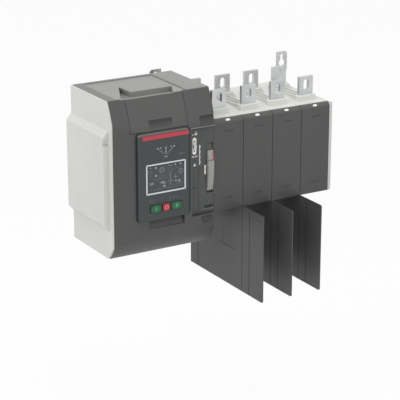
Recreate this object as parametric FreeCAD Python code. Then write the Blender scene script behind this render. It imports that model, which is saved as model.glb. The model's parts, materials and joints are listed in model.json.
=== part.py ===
import FreeCAD, Part
import math
import os

# An automatic transfer switch: four poles side by side, a drive mechanism on their left,
# and a controller module over the mechanism. X runs right along the pole stack, Y runs from
# the front to the mounting plane, Z runs up. The origin is on the mounting plane, behind the
# middle of the pole stack and level with the pole shaft. Millimetres.

V = FreeCAD.Vector

# ---- pole stack ----
POLES = 4
PITCH = 50.0            # pole to pole
POLE_H = 136.0
POLE_DEPTH = 148.0      # front face of the poles to the mounting plane
WALL = 2.5              # moulded wall
FRONT_T = 3.0           # front cover thickness
COVER_GAP = 0.4         # half of the groove between two front covers
CLEAR = 0.2             # fixed piece in its slot
RUN = 0.05              # radial running clearance of a shaft
SLIP = 0.3              # side clearance of a sliding piece
BEVEL = 5.0             # bevel along the top of each front cover
TAB_L = 7.0             # white marker tab in the bevel
TAB_W = 3.2

# ---- terminals ----
BAR_W = 24.0
BAR_T = 5.0
BAR_OUT = 36.0          # how far a bar stands out of the pole
SLOT_W = 9.0
SLOT_L = 16.0
SLOT_MARGIN = 4.0       # metal left at the bar's end
SOURCE_SPACING = 71.2   # between the two source rows
SOURCE_SETBACK = 28.6   # front row behind the poles' front
COLLAR_H = 9.0
COLLAR_WALL = 3.0

# ---- moving contacts ----
SWING = 27.0            # degrees each way from off
SHAFT_SQ = 14.0
JOURNAL_OVER = 0.6      # journal over the square's corners
BLADE_T = 4.0
BLADE_W = 12.0
BLADE_ROOM = 10.0       # blade's tip below the top of the pole
HUB_R = 17.0
TAIL_ROOM = 24.0        # blade's tail above the foot of the pole
TAIL_HALF = 40.0        # half angle of the blade's tail, degrees
JAW_T = 3.0
JAW_OVERLAP = 24.0      # lower end of a source jaw below the blade's tip
JAW_H = 22.0
JAW_REACH = 19.0        # from the bar towards the shaft
LOAD_JAW_TOP = 22.0     # below the shaft
LOAD_JAW_W = 18.0
SPLITTERS = 3           # arc plates beside each source jaw
SPLITTER_T = 1.0
SPLITTER_GAP = 2.0      # from the blade at off to the first plate
SPLITTER_UP = 2.0       # arc plates above the jaw's lower end
SPLITTER_NOTCH = 7.0

# ---- barriers, end cover, brackets ----
BARRIER_T = 1.6
BARRIER_AHEAD = 56.0    # in front of the poles
BARRIER_DROP = 132.5    # below the poles
BARRIER_TONGUE = 4.0
BARRIER_CORNER = 3.0
END_T = 8.0
END_ROUND = 7.0
BRACKET_T = 2.0
BRACKET_OUT = 21.0      # beyond the pole stack
BRACKET_IN = 16.0       # behind the end pole
BRACKET_GAP = 2.0       # ear's inner edge beyond the pole stack
BRACKET_RISE = 45.0     # above and below the poles
EAR_H = 29.0            # tall part of the ear before it steps in
EAR_STEP = 2.7
KEY_SLOT_W = 5.2
KEY_HOLE_R = 5.5
KEY_TOP = 3.5           # metal over the keyhole
KEY_LEN = 19.5          # from the slot's top to the round hole's lowest point
FOOT_HOLE_R = 2.75
FOOT_HOLE_UP = 9.0      # above the bracket's lower end
TIE_R = 3.0
TIE_INSET_Y = 14.0
TIE_INSET_Z = 12.0
NUT_AF = 10.0
NUT_T = 3.2
SCREW_R = 1.9
SCREW_HEAD_R = 3.6
SCREW_L = 5.0

# ---- mechanism ----
MECH_W = 40.0           # left of the poles
MECH_OVER = 20.0        # above and below the poles
PANEL_T = 2.5
PANEL_LOW = -66.6
PANEL_HIGH = 62.5
PANEL_INSET = 1.0       # from the mechanism's left side
GEAR_MODULE = 2.0
PINION_TEETH = 16
SECTOR_TEETH = 48
PINION_KEPT = 7         # teeth that the pinion has, round its mesh with the sector
SECTOR_KEPT = 5
PRESSURE_ANGLE = 20.0
BACKLASH = 0.25
GEAR_W = 4.0
HANDLE_PROUD = 4.8      # the rim's crown in front of the panel
HANDLE_RIM_T = 7.0
HANDLE_W = 7.4
HANDLE_TOP = 26.2       # above the shaft
HANDLE_FOOT = -33.2
HANDLE_EDGE = 1.5       # panel left right of the handle slot
HEAD_Z = 12.0           # the groove under the handle's head
GROOVE_W = 1.4
GROOVE_D = 1.6
PIVOT_R = 4.0
LOOP_HALF = 38.0        # half height of the loop that passes round the shaft
LOOP_BAR = 8.0
LATCH_W = 1.6
LATCH_LOW = 11.6
LATCH_HIGH = 24.4
LATCH_TRAVEL = 1.2
SHIELD_T = 1.8
FLAG_W = 3.0
FLAG_GAP = 1.2
WINDOW_LOW = -9.0
WINDOW_HIGH = 5.0
CRANK_R = 31.2
CRANK_T = 5.0
CRANK_PIN_R = 2.5
PLUNGER_R = 4.0
COIL_SIDE = 0.95        # beside a coil, to the housing and to the indicator
COIL_L = 26.0
COIL_GAP = 0.4
YOKE_T = 2.0
YOKE_LOW = 38.0
SELECTOR_IN = 7.0       # from the panel's left edge
SELECTOR_Z = 35.5
SELECTOR_W = 6.4
SELECTOR_L = 25.0
SELECTOR_SLOT = 2.4
SELECTOR_TRAVEL = 6.0
KNOB_W = 4.4
KNOB_L = 5.0
LOCK_W = 12.0
LOCK_T = 2.4
LOCK_UP = 9.0           # above the panel's lower edge
LOCK_OUT = 8.0
LOCK_HOLE_R = 2.8
LOCK_WEB = 1.2          # round the padlock's hole
LOCK_STOP_T = 2.0

# ---- controller module ----
MODULE_W = 160.0
MODULE_GAP = 2.0        # left of the poles
MODULE_OVER = 28.0      # above the mechanism
MODULE_UNDER = 25.0
MODULE_BACK = -30.0
MODULE_AHEAD = 7.0      # in front of the poles
SHELL = 2.5
SIDE_T = 3.0
SIDE_BULGE = 8.0
SIDE_PAD_SETBACK = 13.0
SIDE_PAD_HIGH = 76.5
SIDE_PAD_LOW = -72.0
SIDE_PAD_TOP_RAMP = 10.0
SIDE_PAD_LOW_RAMP = 11.0
SIDE_NOTCH_H = 12.5
SIDE_NOTCH_D = 3.4
LID_IN_LEFT = 15.0      # from the module's left side
LID_IN_RIGHT = 36.0
LID_TONGUE_LEFT = 11.0  # the part down the front is narrower by these
LID_TONGUE_RIGHT = 8.0
LID_DROP = 46.8         # how far the lid reaches down the front
LID_GAP = 0.6
LID_SINK = 1.2
GRIP_D = 7.8
GRIP_WALL = 1.6
SCOOP_D = 4.0
HMI_MARGIN = 7.0        # left of the mechanism's panel
HMI_W = 81.5
HMI_HIGH = 67.5
HMI_LOW = -60.0
HMI_PROUD = 3.5
HMI_SEAT = 1.5          # how deep the panel sits in the front cover
HMI_ROUND = 5.0
HMI_LIP = 3.0
DISPLAY_IN_LEFT = 12.0
DISPLAY_IN_RIGHT = 6.0
DISPLAY_HIGH = 22.7
DISPLAY_LOW = -21.0
DISPLAY_RIM = 2.7
STRIP_IN_LEFT = 7.0
STRIP_IN_RIGHT = 0.6
STRIP_LOW = 58.2
STRIP_HIGH = 64.0
KEY_Z = -42.7
KEY_H = 11.4
KEY_TRAVEL = 1.0
KEY_PROUD = 0.8
KEY_PLACES = {"key_one": (17.8, 18.0), "key_off": (37.4, 12.0), "key_two": (50.9, 18.0)}
BOARD_T = 1.6

# ---- worked out from the above ----
STACK_HALF = POLES * PITCH / 2
POLE_FRONT = -POLE_DEPTH
HOUSING_FRONT = POLE_FRONT + FRONT_T
HOUSING_BACK = -BRACKET_T
POLE_TOP = POLE_H / 2
SOURCE_ONE_Y = POLE_FRONT + SOURCE_SETBACK
SOURCE_TWO_Y = SOURCE_ONE_Y + SOURCE_SPACING
SHAFT_Y = SOURCE_ONE_Y + SOURCE_SPACING / 2
JOURNAL_R = SHAFT_SQ / math.sqrt(2) + JOURNAL_OVER
BLADE_R = POLE_TOP - BLADE_ROOM
TAIL_R = POLE_TOP - TAIL_ROOM
JAW_Z = BLADE_R - JAW_OVERLAP
SPLITTER_Z = JAW_Z + SPLITTER_UP
BARRIER_FRONT = POLE_FRONT - BARRIER_AHEAD
BRACKET_HALF = POLE_TOP + BRACKET_RISE
FOOT_HOLE_Z = FOOT_HOLE_UP - BRACKET_HALF
TIE_PLACES = [(y, z) for y in (HOUSING_FRONT + TIE_INSET_Y, HOUSING_BACK - TIE_INSET_Y)
              for z in (TIE_INSET_Z - POLE_TOP, POLE_TOP - TIE_INSET_Z)]

MECH_LEFT = -STACK_HALF - MECH_W
MECH_TOP = POLE_TOP + MECH_OVER
PANEL_LEFT = MECH_LEFT + PANEL_INSET
PINION_R = GEAR_MODULE * PINION_TEETH / 2
SECTOR_R = GEAR_MODULE * SECTOR_TEETH / 2
PIVOT_Y = SHAFT_Y + PINION_R + SECTOR_R
HANDLE_SWING = SWING * PINION_TEETH / SECTOR_TEETH
HANDLE_R = PIVOT_Y - POLE_FRONT + HANDLE_PROUD
RIM_IN = HANDLE_R - HANDLE_RIM_T
HANDLE_RIGHT = -STACK_HALF - HANDLE_EDGE - SLIP
LATCH_LEFT = HANDLE_RIGHT - LATCH_W
HANDLE_LEFT = LATCH_LEFT - SLIP - HANDLE_W
ARM_LEFT = HANDLE_LEFT + 1.0
ARM_RIGHT = ARM_LEFT + GEAR_W
HANDLE_SLOT_Z = math.sqrt(HANDLE_R ** 2 - (PIVOT_Y - HOUSING_FRONT) ** 2) + SLIP
FLAG_RIGHT = HANDLE_LEFT - FLAG_GAP - SLIP
FLAG_LEFT = FLAG_RIGHT - FLAG_W
CRANK_X = (MECH_LEFT + WALL + FLAG_LEFT) / 2
COIL_R = (FLAG_LEFT - MECH_LEFT - WALL) / 2 - COIL_SIDE
SELECTOR_X = PANEL_LEFT + SELECTOR_IN
LOCK_Z = PANEL_LOW + LOCK_UP

MODULE_RIGHT = -STACK_HALF - MODULE_GAP
MODULE_LEFT = MODULE_RIGHT - MODULE_W
MODULE_TOP = MECH_TOP + MODULE_OVER
MODULE_LOW = -MECH_TOP - MODULE_UNDER
MODULE_FRONT = POLE_FRONT - MODULE_AHEAD
LID_LEFT = MODULE_LEFT + LID_IN_LEFT
LID_RIGHT = MODULE_RIGHT - LID_IN_RIGHT
HMI_FRONT = MODULE_FRONT - HMI_PROUD
HMI_BACK = MODULE_FRONT + HMI_SEAT
HMI_RIGHT = PANEL_LEFT - HMI_MARGIN
HMI_LEFT = HMI_RIGHT - HMI_W
DISPLAY_LEFT = HMI_LEFT + DISPLAY_IN_LEFT
DISPLAY_RIGHT = HMI_RIGHT - DISPLAY_IN_RIGHT
STRIP_LEFT = HMI_LEFT + STRIP_IN_LEFT
STRIP_RIGHT = HMI_RIGHT - STRIP_IN_RIGHT
KEYS = {name: (HMI_LEFT + offset, width) for name, (offset, width) in KEY_PLACES.items()}


# ---- shaping helpers ----
def box(x0, x1, y0, y1, z0, z1):
    return Part.makeBox(x1 - x0, y1 - y0, z1 - z0, V(x0, y0, z0))


def cylinder(radius, start, end):
    axis = V(*end) - V(*start)
    return Part.makeCylinder(radius, axis.Length, V(*start), axis)


def shaft_cylinder(radius, x0, x1):
    return cylinder(radius, (x0, SHAFT_Y, 0), (x1, SHAFT_Y, 0))


def outline(points, place):
    """A closed face. An entry of two pairs is an arc: through the first, to the second."""
    edges = []
    last = points[0]
    for step in points[1:] + points[:1]:
        if isinstance(step[0], tuple):
            edges.append(Part.Arc(place(*last), place(*step[0]), place(*step[1])).toShape())
            last = step[1]
        elif step != last:
            edges.append(Part.LineSegment(place(*last), place(*step)).toShape())
            last = step
    return Part.Face(Part.Wire(edges))


def prism_x(points, x0, x1):
    return outline(points, lambda y, z: V(x0, y, z)).extrude(V(x1 - x0, 0, 0))


def prism_y(points, y0, y1):
    return outline(points, lambda x, z: V(x, y0, z)).extrude(V(0, y1 - y0, 0))


def prism_z(points, z0, z1):
    return outline(points, lambda x, y: V(x, y, z0)).extrude(V(0, 0, z1 - z0))


def lines_along(shape, axis, keep=lambda middle: True):
    """The straight edges along an axis whose middle passes the test."""
    found = []
    for edge in shape.Edges:
        ends = [v.Point for v in edge.Vertexes]
        if len(ends) != 2 or not isinstance(edge.Curve, (Part.Line, Part.LineSegment)):
            continue
        way = (ends[1] - ends[0]).normalize()
        if abs(way.dot(axis)) > 0.999 and keep((ends[0] + ends[1]) * 0.5):
            found.append(edge)
    return found


X, Y, Z = V(1, 0, 0), V(0, 1, 0), V(0, 0, 1)


def rounded(shape, radius, axis, keep=lambda middle: True):
    return shape.makeFillet(radius, lines_along(shape, axis, keep))


def fused(first, *others):
    return first.fuse(list(others)).removeSplitter()


def plate_y(x0, x1, y0, y1, z0, z1, radius):
    """A plate that faces the front, with round corners."""
    return rounded(box(x0, x1, y0, y1, z0, z1), radius, Y)


def slot_y(x, z0, z1, width, y0, y1):
    """A vertical slot with round ends, cut from front to back."""
    half = width / 2
    return plate_y(x - half, x + half, y0, y1, z0, z1, half * 0.999)


def sector(r0, r1, low, high, x0, x1, axis_y=SHAFT_Y):
    """Part of a ring about an axis along X, between two angles above the front level."""
    def at(radius, angle):
        turn = math.radians(angle)
        return (axis_y - radius * math.cos(turn), radius * math.sin(turn))
    middle = (low + high) / 2
    ring = [at(r0, low), at(r1, low), (at(r1, middle), at(r1, high)), at(r0, high),
            (at(r0, middle), at(r0, low))]
    return prism_x(ring, x0, x1)


def square_bar(width, x0, x1):
    half = width / 2
    return box(x0, x1, SHAFT_Y - half, SHAFT_Y + half, -half, half)


# ---- pole stack ----
def pole_x(index):
    return (index + 0.5) * PITCH - STACK_HALF


def collar(x, y, foot, top):
    """The moulded wall round a terminal bar where it leaves the pole."""
    half_w = BAR_W / 2 + COLLAR_WALL
    half_t = BAR_T / 2 + COLLAR_WALL
    body = box(x - half_w, x + half_w, y - half_t, y + half_t, min(foot, top), max(foot, top))
    rim = [edge for edge in body.Edges
           if abs(edge.CenterOfMass.z - top) < 0.01]
    return body.makeChamfer(1.2, rim)


def bar_hole(x, y, z0, z1):
    half_w = BAR_W / 2 + CLEAR
    half_t = BAR_T / 2 + CLEAR
    return box(x - half_w, x + half_w, y - half_t, y + half_t, z0, z1)


def tie_boss(x0, x1, y, z):
    """The solid corner of a housing that a tie rod runs through."""
    radius = TIE_R + CLEAR + WALL
    wall_y = HOUSING_FRONT - 1 if y < SHAFT_Y else HOUSING_BACK
    wall_z = math.copysign(POLE_TOP, z)
    inner_y = y + radius if y < SHAFT_Y else y - radius
    inner_z = z - math.copysign(radius, z)
    return box(x0, x1, min(wall_y, inner_y), max(wall_y, inner_y), min(wall_z, inner_z), max(wall_z, inner_z))


def pole_housing(index):
    """One pole's moulding: a deep cup, open in front, with collars round its terminals."""
    x = pole_x(index)
    left, right = x - PITCH / 2, x + PITCH / 2
    body = box(left, right, HOUSING_FRONT, HOUSING_BACK, -POLE_TOP, POLE_TOP)
    parts = [collar(x, SOURCE_ONE_Y, POLE_TOP, POLE_TOP + COLLAR_H),
             collar(x, SOURCE_TWO_Y, POLE_TOP, POLE_TOP + COLLAR_H),
             collar(x, SHAFT_Y, -POLE_TOP, -POLE_TOP - COLLAR_H)]
    between = BAR_T / 2 + COLLAR_WALL
    for step in (-1, 0, 1):
        rib = x + step * BAR_W / 3
        parts.append(box(rib - 1, rib + 1, SOURCE_ONE_Y + between, SOURCE_TWO_Y - between,
                         POLE_TOP, POLE_TOP + COLLAR_H / 2))
    deflector = [(x + BAR_W / 2 + COLLAR_WALL, POLE_TOP), (right - 3, POLE_TOP),
                 (x + BAR_W / 2 + COLLAR_WALL, POLE_TOP + COLLAR_H)]
    parts.append(prism_y(deflector, SOURCE_TWO_Y - between, SOURCE_TWO_Y + between))
    body = fused(body, *parts)
    cavity = box(left + WALL, right - WALL, HOUSING_FRONT - 1, HOUSING_BACK - WALL,
                 WALL - POLE_TOP, POLE_TOP - WALL)
    cuts = [cavity.cut([tie_boss(left, right, y, z) for y, z in TIE_PLACES]),
            bar_hole(x, SOURCE_ONE_Y, 0, POLE_TOP + 2 * COLLAR_H),
            bar_hole(x, SOURCE_TWO_Y, 0, POLE_TOP + 2 * COLLAR_H),
            bar_hole(x, SHAFT_Y, -POLE_TOP - 2 * COLLAR_H, 0),
            shaft_cylinder(JOURNAL_R + RUN, left - 1, right + 1)]
    for y, z in TIE_PLACES:
        cuts.append(cylinder(TIE_R + CLEAR, (left - 1, y, z), (right + 1, y, z)))
    for edge_x in (left, right):
        if abs(edge_x) < STACK_HALF - 1:
            cuts.append(barrier_tongue(edge_x, CLEAR / 2))
    cuts += [screw_hole(*place) for place in bracket_screw_places() if left < place[0] < right]
    bevel = [(HOUSING_FRONT - 1, POLE_TOP + 1), (HOUSING_FRONT - 1, POLE_TOP - BEVEL),
             (HOUSING_FRONT, POLE_TOP - BEVEL), (HOUSING_FRONT + BEVEL, POLE_TOP),
             (HOUSING_FRONT + BEVEL, POLE_TOP + 1)]
    cuts.append(prism_x(bevel, left - 1, right + 1))
    return body.cut(cuts)


def pole_front(index):
    """A thin cover over one pole's front, with two finger grips and a marker tab's seat."""
    x = pole_x(index)
    left, right = x - PITCH / 2 + COVER_GAP, x + PITCH / 2 - COVER_GAP
    low = -POLE_TOP
    shape = [(POLE_FRONT, low), (POLE_FRONT, POLE_TOP - BEVEL), (POLE_FRONT + BEVEL, POLE_TOP),
             (HOUSING_FRONT + BEVEL, POLE_TOP), (HOUSING_FRONT, POLE_TOP - BEVEL), (HOUSING_FRONT, low)]
    body = prism_x(shape, left, right)
    grips = [box(x - 7, x + 7, POLE_FRONT - 1, POLE_FRONT + 0.8, z - 1, z + 1)
             for z in (POLE_TOP - 18, 18 - POLE_TOP)]
    return body.cut(grips + [marker_tab(index, CLEAR / 2)])


def marker_tab(index, grow=0.0):
    """An oval tab set in the bevel over one pole."""
    x = pole_x(index)
    half_l, half_w = TAB_L / 2 + grow, TAB_W / 2 + grow
    tab = box(x - half_l, x + half_l, -half_w, half_w, -1.2, 0.5 + grow * 10)
    tab = rounded(tab, half_w * 0.99, Z)
    tab = tab.rotated(V(0, 0, 0), X, 45)
    return tab.translated(V(0, POLE_FRONT + BEVEL / 2, POLE_TOP - BEVEL / 2))


def source_terminal(index, y):
    """A terminal bar with a slot above and a forked jaw below that faces the shaft."""
    x = pole_x(index)
    toward = 1 if y < SHAFT_Y else -1
    top = POLE_TOP + BAR_OUT
    bar = box(x - BAR_W / 2, x + BAR_W / 2, y - BAR_T / 2, y + BAR_T / 2, JAW_Z, top)
    jaws = []
    for side in (-1, 1):
        near = x + side * (BLADE_T / 2 + SLIP)
        far = near + side * JAW_T
        ends = sorted((y, y + toward * (BAR_T / 2 + JAW_REACH)))
        jaws.append(box(min(near, far), max(near, far), *ends, JAW_Z, JAW_Z + JAW_H))
    body = fused(bar, *jaws)
    slot_top = top - SLOT_MARGIN
    return body.cut(slot_y(x, slot_top - SLOT_L, slot_top, SLOT_W, y - BAR_T, y + BAR_T))


def load_terminal(index):
    """The bar under a pole, with a fork that holds the moving contact's tail."""
    x = pole_x(index)
    low = -POLE_TOP - BAR_OUT
    bar_top = -TAIL_R - 2
    bar = box(x - BAR_W / 2, x + BAR_W / 2, SHAFT_Y - BAR_T / 2, SHAFT_Y + BAR_T / 2, low, bar_top)
    jaws = []
    for side in (-1, 1):
        near = x + side * (BLADE_T / 2 + SLIP)
        far = near + side * JAW_T
        jaws.append(box(min(near, far), max(near, far), SHAFT_Y - LOAD_JAW_W / 2,
                        SHAFT_Y + LOAD_JAW_W / 2, bar_top - 10, -LOAD_JAW_TOP))
    body = fused(bar, *jaws)
    slot_low = low + SLOT_MARGIN
    return body.cut(slot_y(x, slot_low, slot_low + SLOT_L, SLOT_W, SHAFT_Y - BAR_T, SHAFT_Y + BAR_T))


def moving_contact(index):
    """A copper blade on the shaft: its tip swings between the sources, its tail rides in the load jaw."""
    x = pole_x(index)
    x0, x1 = x - BLADE_T / 2, x + BLADE_T / 2
    half = BLADE_W / 2
    tip = BLADE_R - half
    arm = prism_x([(SHAFT_Y - half, 0), (SHAFT_Y - half, tip),
                   ((SHAFT_Y, BLADE_R), (SHAFT_Y + half, tip)), (SHAFT_Y + half, 0)], x0, x1)
    tail = sector(HUB_R - 2, TAIL_R, 270 - TAIL_HALF, 270 + TAIL_HALF, x0, x1)
    body = fused(shaft_cylinder(HUB_R, x0, x1), arm, tail)
    return body.cut(square_bar(SHAFT_SQ + 2 * RUN, x0 - 1, x1 + 1))


def pole_shaft():
    """A square bar through all poles, with a journal in every wall it passes and the handle's pinion."""
    left = MECH_LEFT + SLIP
    right = STACK_HALF
    journals = [shaft_cylinder(JOURNAL_R, left, MECH_LEFT + WALL)]
    for index in range(POLES + 1):
        wall = index * PITCH - STACK_HALF
        journals.append(shaft_cylinder(JOURNAL_R, wall - (WALL if index else 0),
                                       wall + (WALL if index < POLES else 0)))
    return fused(square_bar(SHAFT_SQ, left, right), *journals, pinion())


def arc_plates():
    """Steel plates that split the arc, set across each pole between the blade and each source."""
    half = PITCH / 2 - WALL
    top = POLE_TOP - WALL
    first = BLADE_W / 2 + SPLITTER_GAP
    last = SOURCE_SPACING / 2 - BAR_T / 2 - JAW_REACH - CLEAR - SPLITTER_T
    spacing = (last - first) / (SPLITTERS - 1)
    plates = []
    for index in range(POLES):
        x = pole_x(index)
        for side in (-1, 1):
            for step in range(SPLITTERS):
                y = SHAFT_Y + side * (first + step * spacing + SPLITTER_T / 2)
                y0, y1 = y - SPLITTER_T / 2, y + SPLITTER_T / 2
                notch = box(x - SPLITTER_NOTCH / 2, x + SPLITTER_NOTCH / 2, y0 - 1, y1 + 1,
                            SPLITTER_Z - 1, BLADE_R + 3)
                plates.append(box(x - half, x + half, y0, y1, SPLITTER_Z, top).cut(notch))
    return Part.makeCompound(plates)


def hexagon(across, x0, x1, y, z):
    radius = across / math.sqrt(3)
    turns = [math.radians(60 * k) for k in range(6)]
    return prism_x([(y + radius * math.cos(turn), z + radius * math.sin(turn)) for turn in turns], x0, x1)


def tie_rods():
    """Four rods that clamp the mechanism and the poles together, with a nut at each end."""
    left, right = MECH_LEFT, STACK_HALF
    rods = []
    for y, z in TIE_PLACES:
        rod = cylinder(TIE_R, (left - NUT_T - 1, y, z), (right + NUT_T + 1, y, z))
        rods.append(fused(rod, hexagon(NUT_AF, left - NUT_T, left, y, z),
                          hexagon(NUT_AF, right, right + NUT_T, y, z)))
    return Part.makeCompound(rods)


def barrier_tongue(x, grow=0.0):
    half = BARRIER_T / 2 + grow
    return box(x - half, x + half, HOUSING_FRONT + 4, HOUSING_BACK, -POLE_TOP - grow,
               BARRIER_TONGUE - POLE_TOP + grow)


def phase_barrier(index):
    """A thin board between two poles' load terminals, held by a tongue between their housings."""
    x = (index + 1) * PITCH - STACK_HALF
    low = -POLE_TOP - BARRIER_DROP
    board = box(x - BARRIER_T / 2, x + BARRIER_T / 2, BARRIER_FRONT, 0, low, -POLE_TOP)
    board = rounded(board, BARRIER_CORNER, X, lambda middle: middle.y < BARRIER_FRONT + 1)
    board = fused(board, barrier_tongue(x))
    groove_d = BARRIER_T / 4
    cuts = []
    for side in (-1, 1):
        face = x + side * BARRIER_T / 2
        edges = sorted((face - side * groove_d, face + side))
        for y in (POLE_FRONT, POLE_FRONT - 19.5, -22.0):
            cuts.append(box(*edges, y - 0.6, y + 0.6, low - 1, -POLE_TOP - 4))
        cuts.append(box(*edges, -133, -85, low + 60 - 0.6, low + 60 + 0.6))
    return board.cut(cuts)


def right_end_cover():
    """A bulging side panel over the last pole, hollow for the tie rods' ends."""
    x0, x1 = STACK_HALF, STACK_HALF + END_T
    body = box(x0, x1, POLE_FRONT, HOUSING_BACK, -POLE_TOP, POLE_TOP)
    body = body.makeFillet(END_ROUND, [edge for edge in body.Edges
                                       if abs(edge.CenterOfMass.x - x1) < 0.01
                                       and edge.CenterOfMass.y < HOUSING_BACK - 1])
    hollow = box(x0 - 1, x1 - WALL, POLE_FRONT + END_ROUND, HOUSING_BACK - WALL,
                 END_ROUND - POLE_TOP, POLE_TOP - END_ROUND)
    return body.cut(hollow)


def ear_x(side):
    return side * (STACK_HALF + (BRACKET_OUT + BRACKET_GAP) / 2)


def bracket_screw_places():
    """Where the bracket screws go, as (x, z)."""
    inner = STACK_HALF - BRACKET_IN / 2
    places = []
    for side in (-1, 1):
        places += [(side * inner, z) for z in (-35.0, 35.0)]
    places.append((-STACK_HALF - MECH_W / 4, 35.0))
    places.append((-STACK_HALF - MECH_W / 4, -35.0))
    return places


def screw_hole(x, z):
    return cylinder(SCREW_R + CLEAR / 2, (x, HOUSING_BACK - 2 * WALL, z), (x, 1, z))


def countersink(x, z, grow=0.0):
    radius = SCREW_HEAD_R + grow
    return Part.makeCone(SCREW_R, radius, radius - SCREW_R, V(x, -(radius - SCREW_R), z), Y)


def bracket_screws():
    screws = []
    for x, z in bracket_screw_places():
        shank = cylinder(SCREW_R, (x, -SCREW_L, z), (x, -0.5, z))
        screws.append(fused(shank, countersink(x, z)))
    return Part.makeCompound(screws)


def mounting_bracket(side):
    """A steel plate behind one end of the stack, with a keyhole ear above and a holed ear below."""
    half = BRACKET_HALF
    outer = STACK_HALF + BRACKET_OUT
    inner = STACK_HALF + BRACKET_GAP
    waist = half - EAR_H
    shape = [(inner, half), (outer - EAR_STEP, half), (outer, half - EAR_STEP), (outer, waist),
             (outer - EAR_STEP, waist - EAR_STEP), (outer - EAR_STEP, EAR_STEP - waist), (outer, -waist),
             (outer, EAR_STEP - half), (outer - EAR_STEP, -half), (inner, -half),
             (inner, -POLE_TOP + 8), (STACK_HALF - BRACKET_IN, -POLE_TOP + 8),
             (STACK_HALF - BRACKET_IN, POLE_TOP - 8), (inner, POLE_TOP - 8)]
    plate = prism_y([(side * x, z) for x, z in shape], -BRACKET_T, 0)
    x = ear_x(side)
    top = half - KEY_TOP
    hole_z = top - KEY_LEN + KEY_HOLE_R
    cuts = [slot_y(x, hole_z - 2, top, KEY_SLOT_W, -BRACKET_T - 1, 1),
            cylinder(KEY_HOLE_R, (x, -BRACKET_T - 1, hole_z), (x, 1, hole_z)),
            cylinder(FOOT_HOLE_R, (x, -BRACKET_T - 1, FOOT_HOLE_Z), (x, 1, FOOT_HOLE_Z))]
    for screw_x, z in bracket_screw_places():
        if screw_x * side > 0:
            cuts += [screw_hole(screw_x, z), countersink(screw_x, z, 0.05)]
    return plate.cut(cuts)


# ---- mechanism ----
def mechanism_housing():
    """The moulded box left of the poles, open in front and to the first pole, with the handle's pivot."""
    left, right = MECH_LEFT, -STACK_HALF
    top = MECH_TOP
    side = POLE_TOP - 2 * WALL
    body = box(left, right, HOUSING_FRONT, HOUSING_BACK, -top, top)
    body = body.cut(box(left + WALL, right - WALL, HOUSING_FRONT - 1, HOUSING_BACK - WALL,
                        WALL - top, top - WALL))
    boss = cylinder(PIVOT_R + WALL, (left + 1, PIVOT_Y, 0), (HANDLE_LEFT - SLIP, PIVOT_Y, 0))
    pivot = cylinder(PIVOT_R, (left + 1, PIVOT_Y, 0), (right - WALL / 2, PIVOT_Y, 0))
    body = fused(body, boss, pivot)
    cuts = [box(right - 2 * WALL, right + 1, HOUSING_FRONT - 1, PIVOT_Y - 2 * PIVOT_R, -side, side),
            shaft_cylinder(JOURNAL_R + RUN, left - 1, left + WALL + 1)]
    for y, z in TIE_PLACES:
        cuts.append(cylinder(TIE_R + CLEAR, (left - 1, y, z), (right + 1, y, z)))
    cuts += [screw_hole(*place) for place in bracket_screw_places() if left < place[0] < right]
    return body.cut(cuts)


def mechanism_panel():
    """The front plate with the handle's slot, the position window and the selector's seat."""
    left, right = PANEL_LEFT, -STACK_HALF
    plate = plate_y(left, right, POLE_FRONT, HOUSING_FRONT, PANEL_LOW, PANEL_HIGH, 1.0)
    deep = (POLE_FRONT - 1, HOUSING_FRONT + 1)
    reach = SELECTOR_TRAVEL + KNOB_L / 2
    cuts = [box(HANDLE_LEFT - SLIP, HANDLE_RIGHT + SLIP, *deep, -HANDLE_SLOT_Z, HANDLE_SLOT_Z),
            box(FLAG_LEFT, FLAG_RIGHT - SLIP, *deep, WINDOW_LOW, WINDOW_HIGH),
            slot_y(SELECTOR_X, SELECTOR_Z - reach, SELECTOR_Z + reach, SELECTOR_SLOT, *deep),
            box(lock_left() - SLIP, lock_left() + LOCK_W + SLIP, *deep, LOCK_Z - LOCK_T / 2 - SLIP,
                LOCK_Z + LOCK_T / 2 + SLIP),
            box(left + 3, left + 9, POLE_FRONT - 1, POLE_FRONT + 1, -27.2, -25.6),
            box(left + 13.6, left + 14.2, POLE_FRONT - 1, POLE_FRONT + 0.5, PANEL_LOW + 4, WINDOW_HIGH)]
    return plate.cut(cuts)


def lock_left():
    return -STACK_HALF - HANDLE_EDGE - LOCK_W - 0.6


# ---- handle and its gearing ----
def tooth(teeth, middle, sign, axis_y):
    """One involute tooth as a prism. Its middle is an angle above the front level."""
    pitch_r = GEAR_MODULE * teeth / 2
    base_r = pitch_r * math.cos(math.radians(PRESSURE_ANGLE))
    root, tip = pitch_r - 1.25 * GEAR_MODULE, pitch_r + GEAR_MODULE

    def roll(radius):
        tangent = math.sqrt(max(radius ** 2 - base_r ** 2, 0.0)) / base_r
        return tangent - math.atan(tangent)

    flank = [root - 0.5, max(root, base_r), pitch_r, (pitch_r + tip) / 2, tip]
    half = math.pi / 2 / teeth - BACKLASH / 2 / pitch_r
    points = []
    for side in (-1, 1):
        edge = [(radius, side * (half + roll(pitch_r) - roll(radius))) for radius in flank]
        points += edge if side < 0 else reversed(edge)
    turn = math.radians(middle)
    shape = [(axis_y - sign * radius * math.cos(turn + angle), radius * math.sin(turn + angle))
             for radius, angle in points]
    return prism_x(shape, ARM_LEFT, ARM_RIGHT)


def gear_teeth(teeth, kept, start, sign, axis_y):
    """A run of teeth, one pitch apart, about the level line towards the mating gear."""
    step = 360 / teeth
    return [tooth(teeth, start + step * (k - (kept - 1) / 2), sign, axis_y) for k in range(kept)]


def pinion():
    """The toothed wheel on the shaft. It has a gap where the sector has its middle tooth."""
    body = shaft_cylinder(PINION_R - 1.25 * GEAR_MODULE, ARM_LEFT, ARM_RIGHT)
    return fused(body, *gear_teeth(PINION_TEETH, PINION_KEPT + 1, 0, -1, SHAFT_Y))


def rim_angle(z, radius):
    return math.degrees(math.asin(z / radius))


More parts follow.
